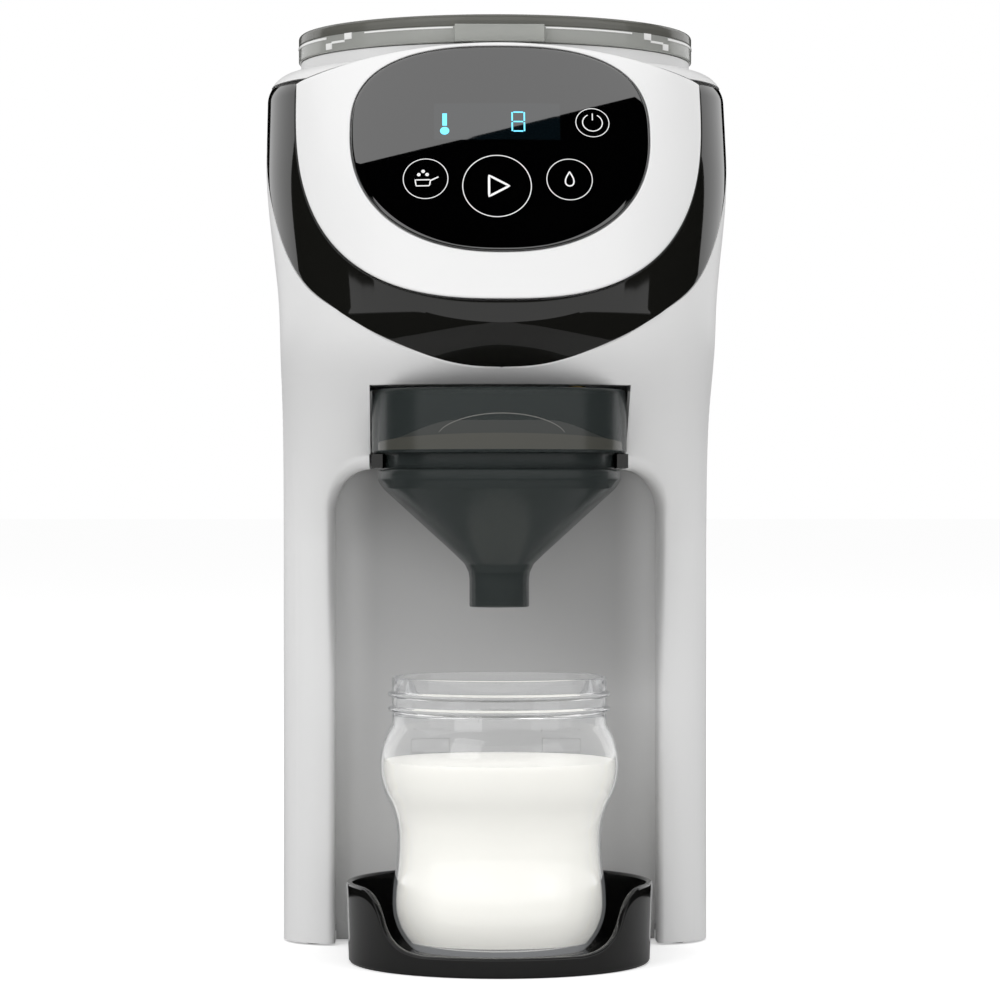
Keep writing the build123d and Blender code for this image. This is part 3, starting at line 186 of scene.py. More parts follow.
FINISHES = {
    # body_white: its third colour is the painted shade inside the alcove
    "body_white": casing_with_painted_shade("body_white", (0.80, 0.80, 0.80), (0.77, 0.77, 0.768), (0.40, 0.40, 0.40)),
    "bezel_white": moulded("bezel_white", (0.86, 0.86, 0.86), (0.84, 0.84, 0.838), 0.30, 0.04, 2600.0, 0.000006),
    "gloss_black": moulded("gloss_black", (0.0085, 0.0085, 0.0072), (0.006, 0.006, 0.0055), 0.045, 0.02, 420.0,
                           0.0000004),
    "tray_black": moulded("tray_black", (0.007, 0.007, 0.0065), (0.005, 0.005, 0.005), 0.06, 0.02, 420.0,
                          0.0000004),
    "panel_black": moulded("panel_black", (0.0006, 0.0006, 0.0007), (0.0004, 0.0004, 0.0005), 0.02, 0.01, 300.0,
                           0.0000001, IOR=2.3),
    "display": moulded("display", (0.002, 0.0045, 0.006), (0.0015, 0.0035, 0.005), 0.025, 0.01, 300.0, 0.0000001,
                       IOR=2.35),
    "circuit_board": moulded("circuit_board", (0.02, 0.13, 0.05), (0.012, 0.09, 0.035), 0.35, 0.2, 900.0),
    "screw_steel": metal("screw_steel", (0.60, 0.60, 0.61), (0.45, 0.45, 0.46), 0.22, 900.0, (1, 1, 6)),
    "pin_steel": metal("pin_steel", (0.68, 0.68, 0.70), (0.55, 0.55, 0.57), 0.15, 1200.0, (8, 1, 1)),
    "cover_grey": moulded("cover_grey", (0.24, 0.24, 0.25), (0.20, 0.20, 0.21), 0.5, 0.1, 1800.0),
    "foot_rubber": moulded("foot_rubber", (0.03, 0.03, 0.03), (0.022, 0.022, 0.022), 0.75, 0.1, 1600.0, 0.00004),
    "clear_container": clear("clear_container", (0.93, 0.95, 0.94), (0.9, 0.92, 0.91), 0.04, 1.45),
    "clear_lid": clear("clear_lid", (0.56, 0.57, 0.54), (0.52, 0.53, 0.50), 0.12, 1.40, Transmission_Weight=0.45),
    # the bottle glass's faint emission is painted light: a glow standing in for the white that the glass reflects
    "clear_bottle": clear("clear_bottle", (0.97, 0.97, 0.97), (0.95, 0.95, 0.95), 0.02, 1.42,
                          Emission_Color=(0.95, 0.97, 1.0), Emission_Strength=0.03),
    "clear_tank": clear("clear_tank", (0.86, 0.89, 0.91), (0.83, 0.87, 0.89), 0.06, 1.45),
    "smoke_clear": moulded("smoke_clear", (0.036, 0.044, 0.043), (0.031, 0.038, 0.037), 0.2, 0.04, 700.0, 0.0000005,
                           Alpha=0.66, Specular_IOR_Level=0.3),
    # the milk's emission is painted light: a glow that brightens the milk where lamp light through the glass leaves
    # it dim
    "milk_white": moulded("milk_white", (0.93, 0.92, 0.87), (0.91, 0.90, 0.85), 0.3, 0.05, 200.0, 0.000002,
                          Emission_Color=(0.95, 0.94, 0.88), Emission_Strength=0.40),
    "seal_silicone": moulded("seal_silicone", (0.62, 0.62, 0.61), (0.58, 0.58, 0.57), 0.5, 0.1, 1200.0),
    "hose_silicone": moulded("hose_silicone", (0.72, 0.72, 0.70), (0.66, 0.66, 0.64), 0.4, 0.1, 1200.0),
    "wheel_grey": moulded("wheel_grey", (0.55, 0.57, 0.59), (0.5, 0.52, 0.54), 0.4, 0.1, 1600.0),
    "wheel_cap": moulded("wheel_cap", (0.05, 0.22, 0.36), (0.04, 0.18, 0.3), 0.3, 0.1, 1600.0),
    "gear_plastic": moulded("gear_plastic", (0.74, 0.72, 0.66), (0.7, 0.68, 0.62), 0.45, 0.1, 1600.0),
    "bearing_brass": metal("bearing_brass", (0.62, 0.46, 0.2), (0.5, 0.36, 0.15), 0.25, 1000.0, (1, 1, 8)),
    "motor_steel": metal("motor_steel", (0.45, 0.45, 0.47), (0.36, 0.36, 0.38), 0.35, 800.0, (1, 1, 6)),
    "heater_aluminium": metal("heater_aluminium", (0.62, 0.62, 0.64), (0.52, 0.52, 0.54), 0.45, 500.0, (1, 1, 1)),
    "tank_lid_white": moulded("tank_lid_white", (0.78, 0.78, 0.78), (0.75, 0.75, 0.75), 0.35, 0.05, 2600.0, 0.00001),
}


def glowing(name, colour, strength):
    """Printed or lit sign: its own colour with a faint unevenness."""
    finish = Finish(name, Roughness=0.3, Emission_Strength=strength)
    tone = finish.between(finish.noise(500.0), colour, tuple(0.93 * c for c in colour))
    finish.set("Base Color", tone)
    finish.set("Emission Color", tone)
    return finish.material


LID_SMOKE = clear("lid_smoke", (0.17, 0.17, 0.15), (0.145, 0.145, 0.13), 0.14, 1.45, Transmission_Weight=0.35)
# pale opaque tone for the lid's steps: a painted highlight, not the clear plastic's own colour
LID_PAINTED_HIGHLIGHT = moulded("lid_painted_highlight", (0.88, 0.88, 0.87), (0.84, 0.84, 0.83), 0.2, 0.05, 900.0, 0.000001)
PRINT_WHITE = glowing("print_white", (0.8, 0.8, 0.8), 0.25)
SIGN_BLUE = glowing("sign_blue", (0.155, 0.65, 0.87), 0.85)

for subpart in frame["record"]["subparts"]:
    slots = NODES[subpart["node"]].data.materials
    slots.clear()
    slots.append(FINISHES[subpart["material_slot"]])


# ---------------------------------------------------------------- meshes from grids
def quads(rows, columns, wrap_rows, wrap_columns):
    """Corner numbers of the faces of a grid, written as whole arrays."""
    r = np.arange(rows if wrap_rows else rows - 1)[:, None]
    c = np.arange(columns if wrap_columns else columns - 1)[None, :]
    r1, c1 = (r + 1) % rows, (c + 1) % columns
    return np.stack([r * columns + c, r * columns + c1, r1 * columns + c1, r1 * columns + c], -1).reshape(-1, 4)


def piece(name, body, slot, grids, replaces=(), finish=None, sharp=35.0):
    """A piece from grids of points (rows, columns, 3) in mm, each with its wrapping; seams are welded."""
    points, faces, count = [], [], 0
    for grid, wrap_rows, wrap_columns in grids:
        rows, columns = grid.shape[:2]
        points.append(grid.reshape(-1, 3))
        faces.append(quads(rows, columns, wrap_rows, wrap_columns) + count)
        count += rows * columns
    mesh = bpy.data.meshes.new(name)
    mesh.from_pydata(np.vstack(points) * MM, [], np.vstack(faces).tolist())
    work = bmesh.new()
    work.from_mesh(mesh)
    bmesh.ops.remove_doubles(work, verts=work.verts, dist=2e-6)
    bmesh.ops.dissolve_degenerate(work, edges=work.edges, dist=1e-6)
    bmesh.ops.holes_fill(work, edges=work.edges)
    bmesh.ops.recalc_face_normals(work, faces=work.faces)
    work.to_mesh(mesh)
    work.free()
    mesh.polygons.foreach_set("use_smooth", np.ones(len(mesh.polygons), bool))
    mesh.set_sharp_from_angle(angle=radians(sharp))
    made = bpy.data.objects.new(name, mesh)
    bpy.context.scene.collection.objects.link(made)
    mesh.materials.append(finish or FINISHES[slot])
    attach(made, body)
    if replaces:
        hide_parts(*replaces)
    return made


def rounded(points, radius, steps=5):
    """Closed polygon with each corner turned into an arc; radius may be a list, one for each corner."""
    points = np.array(points, float)
    radii = np.broadcast_to(np.array(radius, float), len(points))
    result = []
    for i, corner in enumerate(points):
        a, b = points[i - 1] - corner, points[(i + 1) % len(points)] - corner
        la, lb = np.linalg.norm(a), np.linalg.norm(b)
        a, b = a / la, b / lb
        half = np.arccos(np.clip(a @ b, -1, 1)) / 2
        if radii[i] == 0 or half > 1.55:
            result.append(corner[None])
            continue
        reach = min(radii[i] / np.tan(half), 0.49 * la, 0.49 * lb)
        r = reach * np.tan(half)
        middle = corner + (a + b) / np.linalg.norm(a + b) * r / np.sin(half)
        first, last = corner + a * reach - middle, corner + b * reach - middle
        t = np.linspace(0, 1, steps)[:, None]
        turn = pi - 2 * half
        result.append(middle + (np.sin((1 - t) * turn) * first + np.sin(t * turn) * last) / np.sin(turn))
    return np.vstack(result)


def turned(axis_y, profile, steps=128):
    """Surface of revolution about the upright axis at (0, axis_y): each profile point (r, z) makes a ring."""
    profile = np.array(profile, float)
    angle = np.arange(steps) * 2 * pi / steps
    r, z = profile[:, :1], profile[:, 1:]
    grid = np.stack([r * np.sin(angle), axis_y - r * np.cos(angle), z + 0 * angle], -1)
    return grid, True, True


def bar(x, y, z, radius=0.5, axis=0):
    """Rounded box between limits: a rounded rectangle carried along one axis, its ends drawn in by the radius."""
    limits = [np.array(v, float) for v in (x, y, z)]
    u, v = [k for k in range(3) if k != axis]
    middle = [limits[k].mean() for k in range(3)]
    rows = []
    for along, inset in [(0, 1), (0, 0.3), (0.3, 0), (-0.3, 0), (0, 0.3), (0, 1)]:
        start = limits[axis][0] if len(rows) < 3 else limits[axis][1]
        draw = radius * inset
        half_u, half_v = np.ptp(limits[u]) / 2 - draw, np.ptp(limits[v]) / 2 - draw
        loop = rounded([(-half_u, -half_v), (half_u, -half_v), (half_u, half_v), (-half_u, half_v)],
                       max(radius - draw * 0.7, 0.05), 4)
        row = np.zeros((len(loop), 3))
        row[:, axis] = start + radius * along
        row[:, u], row[:, v] = middle[u] + loop[:, 0], middle[v] + loop[:, 1]
        rows.append(row)
    return np.array(rows), False, True


# ---------------------------------------------------------------- outer form of the head and column
COLUMN_HALF, HEAD_HALF, COLUMN_Y = 74.2, 79.5, -62.0
PLAN_Y, LEG_R, HEAD_R = -20.0, 20.0, 70.0
FACE_R, FACE_Y, FACE_Z = 260, 104.3, 157.3  # the face's circle in side view: radius and centre
CHIN_Z = 216


def ease(t):
    """Smooth step 3t^2 - 2t^3 from 0 to 1."""
    t = np.clip(t, 0, 1)
    return t * t * (3 - 2 * t)


def circle_y(z):
    """Front of the face's circle at height z."""
    return FACE_Y - np.sqrt(FACE_R**2 - (z - FACE_Z) ** 2)


def front_y(z):
    """Front line in side view: the face's circle above the chin, an eased step back to the column below it."""
    low = COLUMN_Y + (circle_y(CHIN_Z) - COLUMN_Y) * ease((z - 140) / 76)
    return np.where(z >= CHIN_Z, circle_y(np.maximum(z, CHIN_Z)), low)


def plan(z):
    """Plan at height z: front arc radius and centre, corner radius and centre, half width, angle where they meet."""
    grow = ease((z - 142) / 52)
    half = COLUMN_HALF + (HEAD_HALF - COLUMN_HALF) * ease((z - 211) / 60)
    arc = 420 + (PLAN_Y - front_y(np.maximum(z, CHIN_Z)) - 420) * grow
    corner = LEG_R + (HEAD_R - LEG_R) * grow
    side = half - corner
    lean = np.arcsin(side / (arc - corner))
    arc_y = front_y(z) + arc
    return arc, arc_y, corner, arc_y - (arc - corner) * np.cos(lean), half, side, lean


def skin(q, z, inset):
    """Point of the form at girth q from the middle and height z, moved inwards along the plan's normal."""
    q, z, inset = np.broadcast_arrays(np.asarray(q, float), np.asarray(z, float), np.asarray(inset, float))
    arc, arc_y, corner, corner_y, half, side, lean = plan(z)
    girth = np.abs(q)
    a = np.minimum(girth / arc, lean)
    b = np.clip((girth - arc * lean) / corner, 0, pi / 2 - lean)
    rest = np.maximum(girth - arc * lean - corner * (pi / 2 - lean), 0)
    turn = a + b
    x = np.where(b > 0, side + (corner - inset) * np.sin(turn), (arc - inset) * np.sin(a))
    y = np.where(b > 0, corner_y - (corner - inset) * np.cos(turn), arc_y - (arc - inset) * np.cos(a)) + rest
    return np.stack([np.sign(q) * x, y, z], -1)


def girth_at_x(x, z):
    """Girth at which the form is x wide."""
    arc, arc_y, corner, corner_y, half, side, lean = plan(z)
    x = np.minimum(x, half - 1e-6)
    on_corner = arc * lean + corner * (np.arcsin(np.clip((x - side) / corner, -1, 1)) - lean)
    return np.where(x < arc * np.sin(lean), arc * np.arcsin(np.clip(x / arc, -1, 1)), on_corner)


def girth_at_y(y, z):
    """Girth at which the form reaches back to y."""
    arc, arc_y, corner, corner_y, half, side, lean = plan(z)
    on_arc = arc * np.arccos(np.clip((arc_y - y) / arc, -1, 1))
    on_corner = arc * lean + corner * (np.arccos(np.clip((corner_y - y) / corner, 0, 1)) - lean)
    beyond = arc * lean + corner * (pi / 2 - lean) + (y - corner_y)
    return np.where(y < arc_y - arc * np.cos(lean), on_arc, np.where(y < corner_y, on_corner, beyond))


def face_at(x, z, inset):
    """Point of the form in front of (x, z), moved inwards by inset."""
    x, z, inset = np.broadcast_arrays(np.asarray(x, float), np.asarray(z, float), np.asarray(inset, float))
    arc, arc_y, corner, corner_y, half, side, lean = plan(z)
    side_x = np.clip(np.abs(x) - side, 0, corner - inset - 1e-6)
    on_corner = corner_y - np.sqrt((corner - inset) ** 2 - side_x**2)
    on_arc = arc_y - np.sqrt((arc - inset) ** 2 - x**2)
    return np.stack([x, np.where(np.abs(x) < (arc - inset) * np.sin(lean), on_arc, on_corner), z], -1)


def egg(half, low, wide, top, power_low, power_top, grow, steps=480):
    """Superellipse outline with unlike lower and upper halves, from the bottom middle anticlockwise."""
    t = np.linspace(-pi / 2, 3 * pi / 2, steps, endpoint=False)
    below = np.sin(t) < 0
    power = np.where(below, power_low, power_top)
    height = np.where(below, wide - low, top - wide) + grow
    x = (half + grow) * np.sign(np.cos(t)) * np.abs(np.cos(t)) ** (2 / power)
    return np.stack([x, wide + height * np.sign(np.sin(t)) * np.abs(np.sin(t)) ** (2 / power)], -1)


FACE_MID = 268.0
AROUND = np.linspace(-pi, pi, 361)[:-1]


def reach(outline):
    """Distance of an outline from the face's middle, for each direction of AROUND."""
    rel = outline - (0, FACE_MID)
    angle, far = np.arctan2(rel[:, 1], rel[:, 0]), np.hypot(rel[:, 0], rel[:, 1])
    order = np.argsort(angle)
    return np.interp(AROUND, angle[order], far[order], period=2 * pi)


def panel_reach(grow):
    """Distance of the touch panel's outline, moved outwards, for each direction of AROUND."""
    return reach(egg(49.5, 235.1, 275.6, 305.3, 2.25, 2.75, grow))


def bezel_outline(grow):
    """Bezel, moved outwards: lower half a superellipse, upright sides, a flat arc over the top."""
    half, t = 68.5 + grow, np.linspace(-pi / 2, 0, 200)
    side = np.stack([half * np.cos(t) ** (2 / 2.65), 290 - (70.5 + grow) * np.abs(np.sin(t)) ** (2 / 2.65)], -1)
    rise, top, shoulder = np.linspace(290, 296 + grow, 12)[1:], 307 + grow, 296 + grow
    radius = (half**2 + (top - shoulder) ** 2) / (2 * (top - shoulder))
    x = np.linspace(half, 0, 120)[1:]
    over = np.stack([x, top - radius + np.sqrt(radius**2 - x**2)], -1)
    right = np.vstack([side, np.stack([0 * rise + half, rise], -1), over])
    return np.vstack([right, right[-2:0:-1] * (-1, 1)])


def on_face(far, inset):
    """Ring of points on the face at a distance from its middle in every direction."""
    return face_at(far * np.cos(AROUND), FACE_MID + far * np.sin(AROUND), inset)


ARC = np.linspace(0, pi / 2, 7)
DECK_Z, DECK_R = 302.5, 10.0
PANEL_OUT, BEZEL_OUT = -1.5, -1.2  # how far panel and bezel stand out of the form, as insets


def crown(z):
    """How far the rounding between sides and deck draws the form in at height z: a quarter circle."""
    rise = np.clip(z - (DECK_Z - DECK_R), 0, DECK_R - 0.01)
    return DECK_R - np.sqrt(DECK_R**2 - rise**2)


# touch panel: disc with a rounded edge, its back 0.6 inside the form
edge = 0.9
rows = [on_face(panel_reach(-edge) * s, PANEL_OUT) for s in np.linspace(0, 1, 40)]
rows += [on_face(panel_reach(-edge + edge * np.sin(t)), PANEL_OUT + edge * (1 - np.cos(t))) for t in ARC[1:]]
rows += [on_face(panel_reach(0) * s, 0.6) for s in (1, 0.66, 0.33, 0)]
piece("touch_panel", "machine", "panel_black", [(np.array(rows), False, True)], ["control_panel"])

# bezel: ring between panel and band with rounded edges and a ledge under the panel
inner, outer = panel_reach(0.3), reach(bezel_outline(0))
rows = [on_face(inner, 0.9)]
rows += [on_face(panel_reach(0.3 + 0.7 * (1 - np.cos(t))), BEZEL_OUT + 0.7 * (1 - np.sin(t))) for t in ARC]
inner_top, outer_top = panel_reach(1.0), reach(bezel_outline(-0.8))
rows += [on_face(inner_top + (outer_top - inner_top) * s, BEZEL_OUT) for s in np.linspace(0, 1, 14)[1:]]
rows += [on_face(reach(bezel_outline(-0.8 + 0.8 * np.sin(t))), BEZEL_OUT + 0.8 * (1 - np.cos(t))) for t in ARC[1:]]
rows += [on_face(outer, 2.4), on_face(panel_reach(-12), 2.4), on_face(panel_reach(-12), 0.9)]
piece("white_bezel", "machine", "bezel_white", [(np.array(rows), True, True)], ["panel_bezel"])


def through(points, steps):
    """Natural cubic spline through points, its parameter the chord length."""
    points = np.array(points, float)
    s = np.r_[0, np.cumsum(np.linalg.norm(np.diff(points, axis=0), axis=1))]
    h, n = np.diff(s), len(s)
    system, right = np.eye(n), np.zeros((n, 2))
    for i in range(1, n - 1):
        system[i, i - 1:i + 2] = h[i - 1], 2 * (h[i - 1] + h[i]), h[i]
        right[i] = 6 * ((points[i + 1] - points[i]) / h[i] - (points[i] - points[i - 1]) / h[i - 1])
    bend = np.linalg.solve(system, right)
    t = np.linspace(0, s[-1], steps)
    k = np.clip(np.searchsorted(s, t) - 1, 0, n - 2)
    a, b, w = (s[k + 1] - t)[:, None], (t - s[k])[:, None], h[k][:, None]
    return (bend[k] * a**3 + bend[k + 1] * b**3) / (6 * w) + (points[k] / w - bend[k] * w / 6) * a + (
        points[k + 1] / w - bend[k + 1] * w / 6) * b


def even(path, steps):
    """Points at equal distances along a path."""
    s = np.r_[0, np.cumsum(np.linalg.norm(np.diff(path, axis=0), axis=1))]
    t = np.linspace(0, s[-1], steps)
    return np.stack([np.interp(t, s, path[:, k]) for k in range(path.shape[1])], -1)


# accent band: strip between the bezel's edge (near) and the band's rear edge (far), both as (girth, height).
# A crease runs below the bezel: the facet above it follows the face's circle, the one below sinks to the form.
BAND_EDGE = [(-136.3, 197.6), (-137.8, 203.0), (-134.0, 211.5), (-119.0, 222.0), (-97.2, 238.4), (-81.2, 254.4),
             (-60.0, 277.0), (-46.0, 297.6)]
BAND_TOP, STEPS, EDGE = 297.4, 220, 0.5
side = bezel_outline(0.35)[:212]
side = side[side[:, 1] <= BAND_TOP]
side = np.vstack([side, (side[-1, 0], BAND_TOP)])
near = even(np.stack([girth_at_x(side[:, 0], side[:, 1]), side[:, 1]], -1), STEPS)
edge_line = through(BAND_EDGE, 900)
far_q = girth_at_y(edge_line[:, 0], edge_line[:, 1])
far_q[0] = 0
far = even(np.stack([far_q, edge_line[:, 1]], -1), STEPS)
far[:, 1] = np.minimum(far[:, 1], BAND_TOP)
step = np.gradient(near, axis=0)
outward = np.stack([step[:, 1], -step[:, 0]], -1) / np.linalg.norm(step, axis=1)[:, None]
drop = 7.4 * (1 - np.clip(near[:, 0] / 58, 0, 1) ** 1.6)
crease = near + outward * np.maximum(drop, EDGE + 0.02)[:, None]


def proud(z):
    """Distance from the eased chin out to the face's circle, which the band's upper facet follows."""
    low = np.minimum(z, CHIN_Z)
    return np.maximum(front_y(low) - circle_y(low), 0)


along = (far - near) / np.linalg.norm(far - near, axis=1)[:, None]
peak = proud(crease[:, 1])
rows = []
for turn in ARC:
    rows.append((near + along * EDGE * (1 - np.cos(turn)), EDGE * (1 - np.sin(turn)) - proud(near[:, 1])))
start, end = near + along * EDGE, far - along * EDGE
for s in np.linspace(0, 1, 9):
    upper = start + (crease - start) * s
    rows.append((upper, -proud(upper[:, 1])))
for s in np.linspace(0, 1, 19)[1:]:
    rows.append((crease + (end - crease) * s, -peak * (1 - s) ** 1.3))
for turn in ARC[::-1]:
    rows.append((far - along * EDGE * (1 - np.cos(turn)), EDGE * (1 - np.sin(turn)) + 0 * peak))
rows = [(near, 2.3 + 0 * peak)] + rows + [(far, 2.3 + 0 * peak)]
band = []
for line, inset in rows:
    both = np.vstack([line[::-1] * (-1, 1), line[1:]])
    inset = np.r_[inset[::-1], inset[1:]]
    band.append(skin(both[:, 0], both[:, 1], inset + crown(both[:, 1])))
piece("gloss_band", "machine", "gloss_black", [(np.array(band), True, False)], ["accent_band"], sharp=17.0)

# ---------------------------------------------------------------- legs and mouth of the alcove
WALL_X, ARCH_X, LEG_FOOT = 55.9, 43.7, 0.7
ARCH_Z, ARCH_RISE, LINER_Y = 150, 15, -45.6


def leg_skin():
    """Front of a leg and the alcove's lip: lines run from the leg's side over its face to the mouth, round a
    quarter ellipse into the alcove and back along its wall; the lip is tight below and soft at the arch. The
    wall's edge is upright to ARCH_Z and a quarter ellipse above it."""
    rise = np.linspace(LEG_FOOT, ARCH_Z, 74)
    a = np.linspace(0, pi / 2, 26)[1:]
    edge = np.vstack([np.stack([0 * rise + WALL_X, rise], -1),
                      np.stack([ARCH_X + (WALL_X - ARCH_X) * np.cos(a), ARCH_Z + ARCH_RISE * np.sin(a)], -1)])
    out = np.vstack([np.tile((1.0, 0.0), (len(rise), 1)),
                     np.stack([np.cos(a) / (WALL_X - ARCH_X), np.sin(a) / ARCH_RISE], -1)])
    out /= np.linalg.norm(out, axis=1)[:, None]
    soft = ease((edge[:, 1] - 85) / 55)[:, None]
    mouth = edge + out * (2.3 + soft * (0.8 + 1.4 * out[:, 1:]))
    depth = (2.2 + 6.3 * soft)[:, 0]
    t = np.r_[0 * rise, a / (pi / 2)]
    top = np.where(t > 0, ARCH_Z + 40 * np.minimum(t * 2, 1), edge[:, 1])
    side_q = girth_at_y(PLAN_Y, top)
    start = np.stack([side_q + (girth_at_x(ARCH_X, top) - side_q) * np.clip(t * 2 - 1, 0, 1), top], -1)
    end = np.stack([girth_at_x(mouth[:, 0], mouth[:, 1]), mouth[:, 1]], -1)
    rows = []
    for s in np.linspace(0, 1, 34):
        across = start + (end - start) * s
        rows.append(skin(across[:, 0], across[:, 1], -0.05))
    face_y = rows[-1][:, 1]
    for turn in np.linspace(0, pi / 2, 11)[1:]:
        xz = mouth + (edge - mouth) * np.sin(turn)
        rows.append(np.stack([xz[:, 0], face_y + depth * (1 - np.cos(turn)), xz[:, 1]], -1))
    for s in np.linspace(0, 1, 8)[1:]:
        y = face_y + depth + (LINER_Y - face_y - depth) * s
        rows.append(np.stack([edge[:, 0], y, edge[:, 1]], -1))
    rows = np.array(rows)
    behind = rows + np.stack([0.6 * out[:, 0], 0.6 + 0 * t, 0.6 * out[:, 1]], -1)
    behind[:24, :, 0] -= 1.2
    return np.concatenate([rows, behind[::-1]])


leg = leg_skin()
piece("leg_skin_right", "machine", "body_white", [(leg, True, False)])
piece("leg_skin_left", "machine", "body_white", [(leg * (-1, 1, 1), True, False)])


def strip(path, low, high, depth):
    """Upright strip with rounded edges along a plan path; depth goes to the left of the path."""
    path = np.array(path, float)
    step = np.gradient(path, axis=0)
    left = np.stack([-step[:, 1], step[:, 0]], -1) / np.linalg.norm(step, axis=1)[:, None]
    section = rounded([(0, low), (depth, low), (depth, high), (0, high)], min(0.5, depth / 3), 4)
    rows = [np.column_stack([path + left * across, np.full(len(path), z)]) for across, z in section]
    return np.array(rows), True, False


foot_profile = rounded([(0, 0), (3.4, 0), (3.4, 3.45), (0, 3.45)], [0, 0.6, 0.3, 0])
feet = []
for x, y in [(-62.8, -49), (62.8, -49), (-60, 136), (60, 136)]:
    foot_grid, *wrapping = turned(y, foot_profile, 48)
    feet.append((foot_grid + (x, 0, 0), *wrapping))
piece("small_feet", "machine", "foot_rubber", feet, ["feet"])

# low plinth round the base, its rear corners of radius 22, and blank flaps in the two empty pairs of tray slots
turn = np.linspace(0, pi / 2, 13)
corner = np.stack([52.2 + 22 * np.cos(turn), 131 + 22 * np.sin(turn)], -1)
half_path = np.vstack([even(np.array([(74.2, -21), (74.2, 131)]), 24)[:-1], corner, [(26, 153)]])
plinth = np.vstack([half_path, half_path[::-1] * (-1, 1)])
sill = even(np.array([(-55.8, -44.2), (55.8, -44.2)]), 12)
piece("plinth", "machine", "body_white", [
    strip(plinth, LEG_FOOT, 4.2, 1.6), strip(sill, LEG_FOOT, 7.0, 1.6)])
piece("slot_flaps", "machine", "body_white", [
    bar((x - 7.2, x + 7.2), (-44.25, -43.2), (z - 2.7, z + 2.7), 0.3) for x in (-24.0, 24.0) for z in (43.0, 69.0)])

# ---------------------------------------------------------------- signs on the panel
def sign(name, strokes, finish, slot="bezel_white"):
    """Thin raised strips on the panel; a stroke is its path in mm (across, up the face), place and width."""
    grids = []
    for path, (x0, z0), width in strokes:
        path = np.array(path, float)
        closed = np.allclose(path[0], path[-1])
        step = np.gradient(path, axis=0)
        if closed:
            step[0] = step[-1] = path[1] - path[-2]
        normal = np.stack([-step[:, 1], step[:, 0]], -1) / np.linalg.norm(step, axis=1)[:, None]
        slope = cos(np.arcsin((z0 - FACE_Z) / FACE_R))
        rows = []
        for offset, height in ((-1, -0.03), (-1, 0.03), (1, 0.03), (1, -0.03)):
            rim = path + normal * offset * width / 2
            rows.append(face_at(x0 + rim[:, 0], z0 + rim[:, 1] * slope, PANEL_OUT - height))
        grids.append((np.array(rows), True, False))
    return piece(name, "machine", slot, grids, finish=finish)


def ring(radius, start=0.0, end=360.0, steps=72):
    """Arc of a circle, angles in degrees clockwise from the top."""
    t = np.radians(np.linspace(start, end, steps))
    return np.stack([radius * np.sin(t), radius * np.cos(t)], -1)


def line(*points, steps=6):
    """Straight runs through the points, each cut into equal steps."""
    return even(np.array(points, float), steps * (len(points) - 1) + 1)


START, POWDER, AMOUNT, POWER = (-1.5, 256.8), (-24.8, 259.4), (22.3, 259.2), (30.3, 278.9)
# a drop: width as the sine of the turn, drawn to a point at the top; height as its cosine
drop = np.array([(1.9 * sin(t) * sin(t / 2) ** 1.2, 2.6 * cos(t) + 0.2) for t in np.linspace(0, 2 * pi, 49)])
sign("touch_rings", [(ring(11.2), START, 0.28), (ring(7.3), POWDER, 0.26), (ring(7.5), AMOUNT, 0.26),
                     (ring(5.55), POWER, 0.26)], PRINT_WHITE)
sign("touch_icons", [
    (line((-2.6, -3.8), (4.0, 0), (-2.6, 3.8), (-2.6, -3.8), steps=8), START, 0.75),
    (line((-3.4, -0.4), (1.6, -0.4), (1.3, -2.6), (-3.1, -2.6), (-3.4, -0.4)), POWDER, 0.4),
    (line((1.6, -0.7), (4.2, 0.6)), POWDER, 0.45),
    (ring(0.35), (POWDER[0] - 2.2, POWDER[1] + 1.4), 0.5), (ring(0.35), (POWDER[0] - 0.8, POWDER[1] + 2.5), 0.5),
    (ring(0.35), (POWDER[0] + 0.5, POWDER[1] + 1.4), 0.5),
    (drop, AMOUNT, 0.45),
    (ring(3.3, 28, 332), POWER, 0.35), (line((0, 0.9), (0, 3.6)), POWER, 0.35)], PRINT_WHITE)
W, H = 2.0, 3.7  # half width and half height of the display's seven-bar figure
digit = [line((-W, 0.25), (-W, H)), line((W, 0.25), (W, H)), line((-W, -H), (-W, -0.25)), line((W, -H), (W, -0.25))]
digit += [line((-W + 0.4, z), (W - 0.4, z)) for z in (H, 0, -H)]
DIGIT, GAUGE = (5.7, 278.8), (-18.5, 278.0)
sign("display_signs", [(path, DIGIT, 0.5) for path in digit]
     + [(line((0, -0.6), (0, 4.2)), GAUGE, 1.5), (ring(0.75), (GAUGE[0], GAUGE[1] - 2.3), 1.5)], SIGN_BLUE, "display")
glass_z = np.linspace(272.6, 285.2, 12)
glass_x = np.linspace(-22, 19.5, 24)
glass = [face_at(glass_x, z, PANEL_OUT - 0.01) for z in glass_z]
back = [face_at(glass_x, z, PANEL_OUT + 0.1) for z in glass_z[::-1]]
piece("display_glass", "machine", "display", [(np.array(glass + back), True, False)])

# ---------------------------------------------------------------- lid of the powder container
POWDER_Y, DRINK_Y = -36.0, -102.0
HINGE_Y, HINGE_Z = POWDER_Y + 70.6, 310.5
lid_profile = rounded([(0, 313), (67.2, 313), (67.2, 307.6), (69, 307.6), (69, 313.2), (66, 313.2), (66, 315.2),
                       (0, 315.2)], [0, 0.3, 0.4, 0.4, 0.3, 0.3, 0.3, 0])
rim_profile = rounded([(65, 313.2), (69, 313.2), (69, 317), (65, 317)], [0.2, 0.3, 1.3, 0.7], 8)
knuckle = rounded([(-9.5, 0), (9.5, 0), (9.5, 2.9), (-9.5, 2.9)], [0, 0, 0.4, 0.4])
angle = np.linspace(0, 2 * pi, 33)[:-1]
knuckle_grid = np.stack([knuckle[:, :1] + 0 * angle, HINGE_Y + knuckle[:, 1:] * np.cos(angle),
                         HINGE_Z + knuckle[:, 1:] * np.sin(angle)], -1)


